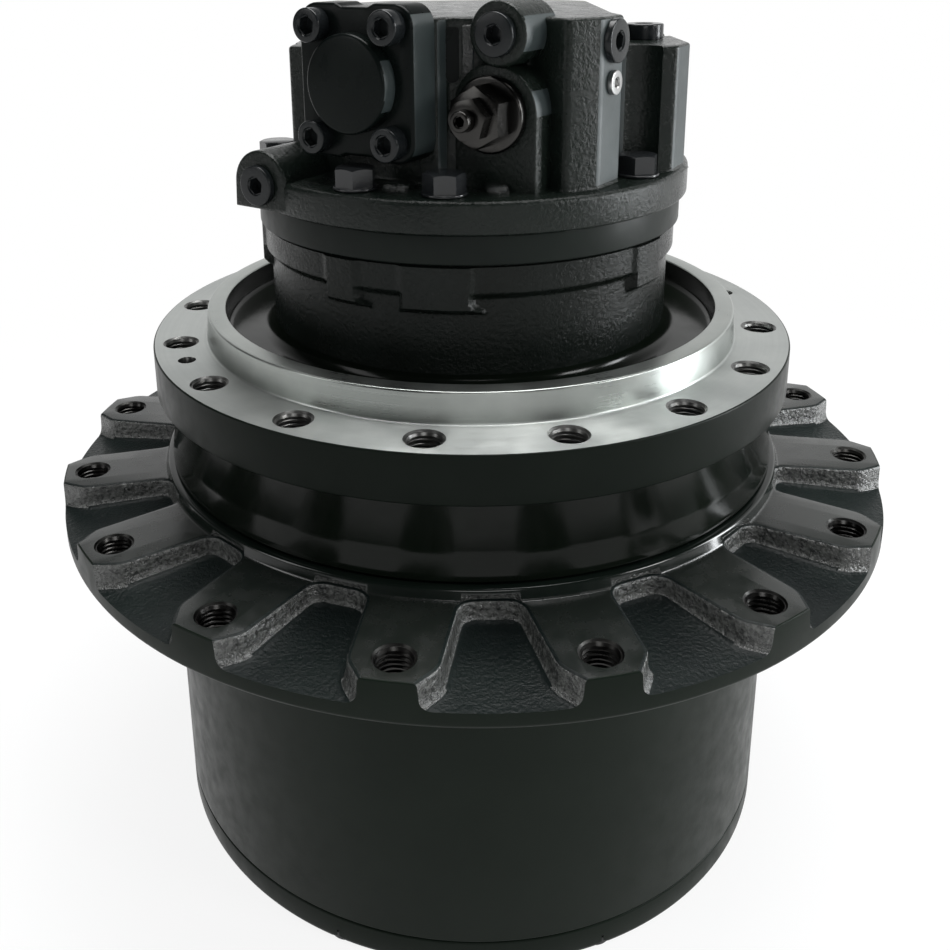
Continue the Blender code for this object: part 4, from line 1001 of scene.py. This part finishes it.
def paint_sheen_on_right_faces(piece):
    """Gives the faces turned to the right a paler, duller paint, which is a painted sheen.

    It stands in for the light falling on them from the right, and isn't known to be a finish of the real
    casting.
    """
    piece.data.materials.append(PAINTED_SHEEN_PAINT)
    for poly in piece.data.polygons:
        if poly.normal.dot(T_DIR) > SHEEN_FACING and poly.center.z > SHEEN_ABOVE:
            poly.material_index = len(piece.data.materials) - 1


valve = to_object(
    "valve_cover_casting",
    turned_mesh(
        [
            (0.0, FLANGE_LOW, 0.0, 0),
            (FLANGE_EDGE_R, FLANGE_LOW, 0.0015, 0),
            (FLANGE_EDGE_R, FLANGE_HIGH, 0.0030, 0),
            (0.0, FLANGE_HIGH, 0.0, 0),
        ],
        192,
    ),
    [VALVE_PAINT],
)
cheek_a = N_DIR * CHEEK_N + T_DIR * (CAP_ALONG - CAP_W / 2 - 0.001)
cheek_b = N_DIR * CHEEK_N + T_DIR * (CAP_ALONG + CAP_W / 2 + 0.001)
body = flat_outline(
    [
        (-0.086, cheek_a.y + 0.004, 0.004),
        (cheek_a.x, cheek_a.y, 0.006),
        (cheek_b.x, cheek_b.y, 0.003),
        (cheek_b.x + 0.0050, STEP_Y, 0.0045),
        (0.034, STEP_Y, 0.0060),
        (NOSE_LEFT.x, NOSE_LEFT.y, 0.004),
        (NOSE_RIGHT.x, NOSE_RIGHT.y, 0.0065),
        (SIDE_BACK.x, SIDE_BACK.y, 0.003),
        (RIGHT_X, SIDE_BACK.y + 0.020, 0.004),
        (RIGHT_X, 0.068, 0.012),
        (RIGHT_X - 0.030, REAR_Y, 0.012),
        (-0.056, REAR_Y, 0.012),
        (-0.086, 0.068, 0.012),
    ]
)
add(valve, slab(body, FLANGE_HIGH - 0.0012, BODY_TOP, top=0.0022, foot=0.0030), [VALVE_PAINT])
left_block = flat_outline(
    [(-0.104, -0.034, 0.005), (-0.078, -0.044, 0.002), (-0.078, 0.050, 0.002), (-0.104, 0.040, 0.008)]
)
add(valve, slab(left_block, FLANGE_HIGH - 0.0010, LEFT_BLOCK_TOP, top=0.0018, foot=0.003), [VALVE_PAINT])
rear_block = flat_outline(
    [(0.070, -0.066, 0.002), (0.116, -0.060, 0.005), (0.126, -0.040, 0.005), (0.124, 0.040, 0.010),
     (0.070, 0.052, 0.002)]
)
add(valve, slab(rear_block, FLANGE_HIGH - 0.0014, REAR_BLOCK_TOP, top=0.0018, foot=0.003), [VALVE_PAINT])
arch_face = N_DIR * 0.0795 + T_DIR * 0.0672 + UP * 0.4652
arch = arched(ARCH_R, FLANGE_HIGH - 0.0025 - arch_face.z)
add(valve, moved(slab(arch, -0.050, 0.0, top=0.0014), facing(arch_face, N_DIR)), [VALVE_PAINT])
front_spot = N_DIR * 0.083 + T_DIR * 0.0715 + UP * 0.5063
lobe = slab(ring_points(0.0170, 46, phase=0.03), -0.0335, 0.0, top=0.0022)
add(valve, moved(lobe, facing(front_spot, N_DIR)), [VALVE_PAINT])
lug_spot = N_DIR * 0.129 + T_DIR * -0.055 + UP * 0.4227
lug = arched(LUG_HALF_W, 0.4085 - lug_spot.z)
add(valve, moved(slab(lug, -0.045, 0.0, top=0.0018), facing(lug_spot, N_DIR)), [VALVE_PAINT])
strip = flat_outline(
    [(-0.003, 0.482, 0.001), (0.003, 0.482, 0.001), (0.0035, 0.510, 0.001), (-0.003, 0.510, 0.001)]
)
strip_place = facing((0.0, STEP_Y + 0.003, 0.0), (0.0, -1.0, 0.0))
add(valve, moved(slab(strip, 0.0, 0.0042, top=0.0008), strip_place), [ROUGH_PAINT])
for degrees, half_w in ((-20.0, 0.0085), (8.0, 0.0065), (28.0, 0.0065)):
    pad = flat_outline(
        [(-half_w, -0.006, 0.004), (half_w, -0.006, 0.004), (half_w, 0.008, 0.004), (-half_w, 0.008, 0.004)]
    )
    azimuth = math.radians(degrees)
    pad_place = Matrix.Translation(polar(0.109, azimuth)) @ Matrix.Rotation(azimuth, 4, "Z")
    low_pad = slab(pad, FLANGE_HIGH - 0.001, FLANGE_HIGH + 0.004, top=0.0028)
    add(valve, moved(low_pad, pad_place), [ROUGH_PAINT])
BOLT_RECESS_R = 0.0147
OVER_BODY = 0.530
recesses = []
for azimuth in BOLT_AZIMUTHS:
    recess = turned_mesh(
        [
            (0.0, FLANGE_HIGH, 0.0, 0),
            (BOLT_RECESS_R, FLANGE_HIGH, 0.001, 0),
            (BOLT_RECESS_R, OVER_BODY, 0.0, 0),
            (0.0, OVER_BODY, 0.0, 0),
        ],
        40,
    )
    recesses.append(moved(recess, Matrix.Translation(polar(BOLT_PCD_R, azimuth))))
cut(valve, together(recesses), [VALVE_PAINT])
side_middle = (NOSE_RIGHT + SIDE_BACK) / 2.0
side_spot = side_middle + UP * 0.5015
orifice_spot = side_middle + UP * 0.480
rear_spot = Vector((0.104, -0.012, REAR_BLOCK_TOP))
cap_centre = N_DIR * (CHEEK_N + 0.0003) + T_DIR * CAP_ALONG + UP * 0.4805
cap_screw_offsets = [
    T_DIR * (sx * CAP_SCREW_W) + UP * (sz * CAP_SCREW_H) for sx in (-0.5, 0.5) for sz in (-0.5, 0.5)
]
COVER_BORE_R = 0.0067
CAP_SCREW_BORE_R = 0.0054
CARTRIDGE_BORE_R = 0.0148
PLUG_BORE_R = 0.0089
PLUG_BORE_DEPTH = 0.012
ORIFICE_BORE_R = 0.0044
ORIFICE_BORE_DEPTH = 0.008
PORT_R = 0.0125
PORT_DEPTH = 0.030
PORT_Z = 0.466
PORT_X = 0.033
BACKWARDS = Vector((0.0, 1.0, 0.0))
recesses = []
for azimuth in BOLT_AZIMUTHS:
    bore = slab(ring_points(COVER_BORE_R, 20), FLANGE_LOW - 0.002, FLANGE_HIGH + 0.002)
    recesses.append(moved(bore, Matrix.Translation(polar(BOLT_PCD_R, azimuth))))
for shift in cap_screw_offsets:
    bore = slab(ring_points(CAP_SCREW_BORE_R, 20), -0.016, 0.002)
    recesses.append(moved(bore, facing(cap_centre + shift, N_DIR)))
recesses.append(moved(slab(ring_points(CARTRIDGE_BORE_R, 32), -0.020, 0.002), facing(arch_face, N_DIR)))
for spot, outward, radius, depth in (
    (front_spot, N_DIR, PLUG_BORE_R, PLUG_BORE_DEPTH),
    (lug_spot, N_DIR, PLUG_BORE_R, PLUG_BORE_DEPTH),
    (side_spot, T_DIR, PLUG_BORE_R, PLUG_BORE_DEPTH),
    (rear_spot, UP, PLUG_BORE_R, PLUG_BORE_DEPTH),
    (orifice_spot, T_DIR, ORIFICE_BORE_R, ORIFICE_BORE_DEPTH),
    (Vector((-PORT_X, REAR_Y, PORT_Z)), BACKWARDS, PORT_R, PORT_DEPTH),
    (Vector((PORT_X, REAR_Y, PORT_Z)), BACKWARDS, PORT_R, PORT_DEPTH),
):
    recesses.append(moved(slab(ring_points(radius, 32), -depth, 0.002), facing(spot, outward)))
panel = flat_outline(
    [(-0.0115, 0.480, 0.003), (-0.0045, 0.480, 0.003), (-0.0045, 0.509, 0.002), (-0.0115, 0.509, 0.002)]
)
panel_place = facing((0.0, STEP_Y, 0.0), (0.0, -1.0, 0.0))
recesses.append(moved(slab(panel, -0.0014, 0.002), panel_place))
cut(valve, together(recesses), [SMOOTH_PAINT])
# The faces turned to the right get the painted sheen.
paint_sheen_on_right_faces(valve)
smooth(valve, 28.0)
place(valve, "frame", ["valve_cover"])

# Counterbalance cap: a milled block with a round boss, its corners swelling round four screws.
# Cast, milled on its face and side, and painted with the rest.
SCREW_IN = 0.0125
WAIST = 0.0020
CAP_THICK = 0.0197
CAP_BOSS_R = 0.0265
CAP_BOSS_FOOT = 0.016
CAP_BOSS_TOP = 0.029
cap_corner = []
for sx, sy in ((-1.0, -1.0), (1.0, -1.0), (1.0, 1.0), (-1.0, 1.0)):
    corner = (sx * CAP_W / 2, sy * CAP_H / 2, 0.0115)
    swell = (sx * SCREW_IN, sy * CAP_H / 2, 0.006)
    waist = (sx * (SCREW_IN - 0.004), sy * (CAP_H / 2 - WAIST), 0.006)
    cap_corner += [waist, swell, corner] if sx * sy < 0.0 else [corner, swell, waist]
cap_block = slab(flat_outline(cap_corner, 8), 0.0, CAP_THICK, top=0.002)
cap = to_object("counterbalance_cap_block", cap_block, [SMOOTH_PAINT])
cap_boss = turned_mesh(
    [
        (0.0, CAP_BOSS_FOOT, 0.0, 0),
        (CAP_BOSS_R, CAP_BOSS_FOOT, 0.0, 0),
        (CAP_BOSS_R, CAP_BOSS_TOP, 0.0022, 0),
        (0.0, CAP_BOSS_TOP, 0.0, 0),
    ],
    96,
)
add(cap, cap_boss, [SMOOTH_PAINT])
holes = []
for sx in (-0.5, 0.5):
    for sy in (-0.5, 0.5):
        spot = (sx * CAP_SCREW_W, sy * CAP_SCREW_H)
        holes.append(slab(ring_points(CAP_SCREW_BORE_R, 24, spot), -0.002, 0.022))
cut(cap, together(holes), [SMOOTH_PAINT])
cap.data.transform(facing(cap_centre, N_DIR))
# The faces turned to the right get the painted sheen.
paint_sheen_on_right_faces(cap)
smooth(cap)
place(cap, "frame", ["counterbalance_cap"])

# Cap screws: four socket head screws of black steel, through the cap into the valve cover.
# One turned head, repeated at the corners of the cap.
screw = socket_head(
    "screw", head_r=0.0092, head_h=0.0095, shank_r=0.005, depth=0.032, socket_r=0.0052,
    mat=SCREW_BLACK,
)
screw.data.transform(facing((0.0, 0.0, 0.0), N_DIR))
spots = [cap_centre + shift + N_DIR * CAP_THICK for shift in cap_screw_offsets]
screws = pattern("cap_screws", spots, screw, SCREW_BLACK)
place(screws, "frame", ["cap_screw_%d" % (k + 1) for k in range(len(spots))])


# Relief valve: a turned cartridge with a big hexagon, a lock nut and a socket adjuster.
# Blackened steel, screwed into the arch of the valve cover.
def hexagon(radius, low, high, chamfer, phase):
    """Hexagon with its corners turned off at the outer end, added to a piece afterwards."""
    head = to_object("head", slab(ring_points(radius, 6, phase=phase), low, high), [])
    dome = turned_mesh(
        [
            (0.0, low - 0.01, 0.0, 0),
            (radius * 1.2, low - 0.01, 0.0, 0),
            (radius * 1.2, high - chamfer * 1.2, 0.0, 0),
            (radius * 0.86, high, 0.0, 0),
            (0.0, high, 0.0, 0),
        ],
        48,
    )
    combine(head, dome, "INTERSECT", [])
    bm = bmesh.new()
    bm.from_mesh(head.data)
    bpy.data.objects.remove(head, do_unlink=True)
    return bm


RELIEF_STEEL = machined(
    "blackened relief steel", dark=(0.018, 0.018, 0.018), light=(0.060, 0.058, 0.055),
    rough=(0.16, 0.28), rings=500.0, depth=0.00002,
)
CARTRIDGE_R = 0.0145
CARTRIDGE_END = -0.018
COLLAR_R = 0.0205
COLLAR_TOP = 0.0060
SEAT_GAP = 0.0003
ADJUSTER_BORE_R = 0.0058
ADJUSTER_SEAT = 0.019
cartridge = to_object(
    "relief_cartridge_hexagon",
    turned_mesh(
        [
            (0.0, CARTRIDGE_END, 0.0, 0),
            (CARTRIDGE_R, CARTRIDGE_END, 0.0, 0),
            (CARTRIDGE_R, SEAT_GAP, 0.0, 0),
            (COLLAR_R, SEAT_GAP, 0.0005, 0),
            (COLLAR_R, COLLAR_TOP, 0.0015, 0),
            (0.0, COLLAR_TOP, 0.0, 0),
        ],
        72,
    ),
    [RELIEF_STEEL],
)
big_hexagon = hexagon(radius=0.0165, low=0.004, high=0.019, chamfer=0.0020, phase=math.radians(30.0))
add(cartridge, big_hexagon, [RELIEF_STEEL])
cut(cartridge, slab(ring_points(ADJUSTER_BORE_R, 32), 0.011, 0.021), [RELIEF_STEEL])
cartridge.data.transform(facing(arch_face, N_DIR))
smooth(cartridge)
place(cartridge, "frame", ["relief_cartridge"])
nut_hexagon = hexagon(radius=0.0118, low=0.0193, high=0.0263, chamfer=0.0014, phase=math.radians(12.0))
locknut = to_object("relief_hexagon_nut", nut_hexagon, [RELIEF_STEEL])
cut(locknut, slab(ring_points(ADJUSTER_BORE_R, 32), 0.017, 0.029), [RELIEF_STEEL])
locknut.data.transform(facing(arch_face, N_DIR))
smooth(locknut)
place(locknut, "frame", ["relief_locknut"])
adjuster = socket_head(
    "relief_adjuster_screw", head_r=0.0055, head_h=0.0134, shank_r=0.0055, depth=0.007,
    socket_r=0.0030, mat=RELIEF_STEEL, edge=0.0008,
)
adjuster.data.transform(facing(arch_face + N_DIR * ADJUSTER_SEAT, N_DIR))
smooth(adjuster)
place(adjuster, "frame", ["relief_adjuster"])

# Socket plugs: they close the drilled oil ways in the front lobe, lug, side face and rear block.
# Black turned steel with a hexagon socket, sealed on a milled seat.
for name, node, spot, outward, head_h in (
    ("front_socket_plug", "front_plug", front_spot, N_DIR, 0.004),
    ("lug_socket_plug", "lug_plug", lug_spot, N_DIR, 0.004),
    ("side_socket_plug", "side_plug", side_spot, T_DIR, 0.004),
    ("rear_block_socket_plug", "rear_block_plug", rear_spot, UP, 0.009),
):
    plug = socket_head(
        name, head_r=0.0115, head_h=head_h, shank_r=0.0085, depth=0.011, socket_r=0.005,
        mat=SCREW_BLACK, edge=0.0009, floor=-0.8,
    )
    plug.data.transform(facing(spot, outward))
    smooth(plug)
    place(plug, "frame", [node])
plug = socket_head(
    "orifice_socket_plug", head_r=0.0065, head_h=0.003, shank_r=0.004, depth=0.007,
    socket_r=0.0028, mat=TURNED_STEEL, edge=0.0006,
)
plug.data.transform(facing(orifice_spot, T_DIR))
smooth(plug)
place(plug, "frame", ["orifice_plug"])

# Flange bolts: eight hexagon bolts with a washer face hold the valve cover on the motor housing.
# Black steel; one bolt, repeated round the flange with its flats at chance.
BOLT_BLACK = paint(
    "black bolt", dark=(0.008, 0.009, 0.010), light=(0.014, 0.015, 0.016), rough=(0.16, 0.26),
    level=0.5, cast=0.00008, cast_scale=500.0,
)
BOLT_END = -0.036
SHANK_R = 0.0062
WASHER_R = 0.0122
WASHER_TOP = 0.0018
bolt = to_object(
    "bolt",
    turned_mesh(
        [
            (0.0, BOLT_END, 0.0, 0),
            (SHANK_R, BOLT_END, 0.0, 0),
            (SHANK_R, SEAT_GAP, 0.0, 0),
            (WASHER_R, SEAT_GAP, 0.0004, 0),
            (WASHER_R, WASHER_TOP, 0.0006, 0),
            (0.0, WASHER_TOP, 0.0, 0),
        ],
        40,
    ),
    [BOLT_BLACK],
)
add(bolt, hexagon(radius=0.0115, low=0.0012, high=0.012, chamfer=0.0016, phase=0.0), [BOLT_BLACK])
spots = [polar(BOLT_PCD_R, azimuth, FLANGE_HIGH) for azimuth in BOLT_AZIMUTHS]
bolts = pattern("valve_cover_bolts", spots, bolt, BOLT_BLACK, jitter=0.5)
place(bolts, "frame", ["flange_bolt_%d" % (k + 1) for k in range(len(spots))])

# Floor: a wide pale sheet that keeps the shadow under the cover and turns white with distance.
# The camera, metal and glass see it as the white background of the photograph.
bm = bmesh.new()
bmesh.ops.create_grid(bm, x_segments=1, y_segments=1, size=6.0)
floor_mat, nodes, links, bsdf = shader("white floor")
bsdf.inputs["Base Color"].default_value = (0.9, 0.9, 0.9, 1.0)
bsdf.inputs["Roughness"].default_value = 0.7
bsdf.inputs["Specular IOR Level"].default_value = 0.2
glow = nodes.new("ShaderNodeEmission")
glow.inputs["Color"].default_value = (1.0, 1.0, 1.0, 1.0)
glow.inputs["Strength"].default_value = 1.0
mix = nodes.new("ShaderNodeMixShader")
path = nodes.new("ShaderNodeLightPath")
seen = nodes.new("ShaderNodeMath")
seen.operation = "MAXIMUM"
seen_all = nodes.new("ShaderNodeMath")
seen_all.operation = "MAXIMUM"
far = nodes.new("ShaderNodeVectorMath")
far.operation = "LENGTH"
share = nodes.new("ShaderNodeMath")
share.operation = "MULTIPLY"
links.new(coordinates(nodes, links), far.inputs[0])
links.new(path.outputs["Is Camera Ray"], seen.inputs[0])
links.new(path.outputs["Is Glossy Ray"], seen.inputs[1])
links.new(seen.outputs["Value"], seen_all.inputs[0])
links.new(path.outputs["Is Transmission Ray"], seen_all.inputs[1])
links.new(seen_all.outputs["Value"], share.inputs[0])
whiter = spread(nodes, links, far.outputs["Value"], low=0.86, high=1.0, start=0.35, end=1.1)
links.new(whiter, share.inputs[1])
links.new(share.outputs["Value"], mix.inputs["Fac"])
links.new(bsdf.outputs["BSDF"], mix.inputs[1])
links.new(glow.outputs["Emission"], mix.inputs[2])
links.new(mix.outputs["Shader"], nodes["Material Output"].inputs["Surface"])
floor = to_object("floor", bm, [floor_mat])
FLOOR_GAP = 0.0005
floor.data.transform(Matrix.Translation((0.0, 0.0, -FLOOR_GAP)))

# Room: white to the camera; in gloss it is white behind the drive and dark above and in front.
# A softer grey lights the object evenly.
world = bpy.data.worlds.new("studio")
scene.world = world
world.use_nodes = True
nodes = world.node_tree.nodes
links = world.node_tree.links
nodes.clear()
out = nodes.new("ShaderNodeOutputWorld")
soft = nodes.new("ShaderNodeBackground")
soft.inputs["Color"].default_value = (0.95, 0.98, 1.0, 1.0)
soft.inputs["Strength"].default_value = 0.45
white = nodes.new("ShaderNodeBackground")
white.inputs["Color"].default_value = (1.0, 1.0, 1.0, 1.0)
room = nodes.new("ShaderNodeBackground")
coord = nodes.new("ShaderNodeTexCoord")
split = nodes.new("ShaderNodeSeparateXYZ")
links.new(coord.outputs["Generated"], split.inputs["Vector"])
lean = nodes.new("ShaderNodeMath")
lean.operation = "MULTIPLY_ADD"
lean.inputs[1].default_value = 0.35
links.new(split.outputs["X"], lean.inputs[0])
links.new(split.outputs["Y"], lean.inputs[2])
behind = spread(nodes, links, lean.outputs["Value"], low=0.03, high=1.0, start=0.10, end=0.70)
height = spread(nodes, links, split.outputs["Z"], low=1.0, high=0.04, start=0.36, end=0.72)
both = nodes.new("ShaderNodeMath")
both.operation = "MULTIPLY"
links.new(behind, both.inputs[0])
links.new(height, both.inputs[1])
links.new(both.outputs["Value"], room.inputs["Color"])
mix_room = nodes.new("ShaderNodeMixShader")
mix_all = nodes.new("ShaderNodeMixShader")
path = nodes.new("ShaderNodeLightPath")
gloss = nodes.new("ShaderNodeMath")
gloss.operation = "MAXIMUM"
links.new(path.outputs["Is Glossy Ray"], gloss.inputs[0])
links.new(path.outputs["Is Transmission Ray"], gloss.inputs[1])
links.new(gloss.outputs["Value"], mix_room.inputs["Fac"])
links.new(soft.outputs["Background"], mix_room.inputs[1])
links.new(room.outputs["Background"], mix_room.inputs[2])
links.new(path.outputs["Is Camera Ray"], mix_all.inputs["Fac"])
links.new(mix_room.outputs["Shader"], mix_all.inputs[1])
links.new(white.outputs["Background"], mix_all.inputs[2])
links.new(mix_all.outputs["Shader"], out.inputs["Surface"])


# Lamps: soft boxes at the left, at the right and above, a small one at the right in front, and a
# front fill. The one at the right gives the bright edge on the corner of the valve cover.
def soft_box(name, spot, target, size_x, size_y, power, colour=(1.0, 1.0, 1.0)):
    data = bpy.data.lights.new(name, "AREA")
    data.shape = "RECTANGLE"
    data.size = size_x
    data.size_y = size_y
    data.energy = power
    data.color = colour
    ob = bpy.data.objects.new(name, data)
    ob.location = spot
    ob.rotation_euler = (Vector(target) - Vector(spot)).to_track_quat("-Z", "Y").to_euler()
    scene.collection.objects.link(ob)
    return ob


soft_box(
    "left soft box", spot=(-1.5, -0.7, 1.1), target=(0.0, 0.0, 0.30), size_x=0.5, size_y=1.2,
    power=5.0,
)
soft_box(
    "right soft box", spot=(1.70, -0.05, 0.55), target=(0.0, 0.0, 0.40), size_x=0.35, size_y=1.3,
    power=28.0, colour=(0.95, 0.98, 1.0),
)
soft_box(
    "top soft box", spot=(0.1, 0.2, 1.8), target=(0.0, 0.0, 0.30), size_x=1.3, size_y=1.0,
    power=34.0,
)
soft_box(
    "right front lamp", spot=(1.3, -0.75, 0.9), target=(0.0, 0.0, 0.40), size_x=0.4, size_y=0.4,
    power=8.0,
)
soft_box(
    "front fill", spot=(0.2, -2.2, 0.9), target=(0.0, 0.0, 0.30), size_x=0.8, size_y=0.5,
    power=5.0,
)
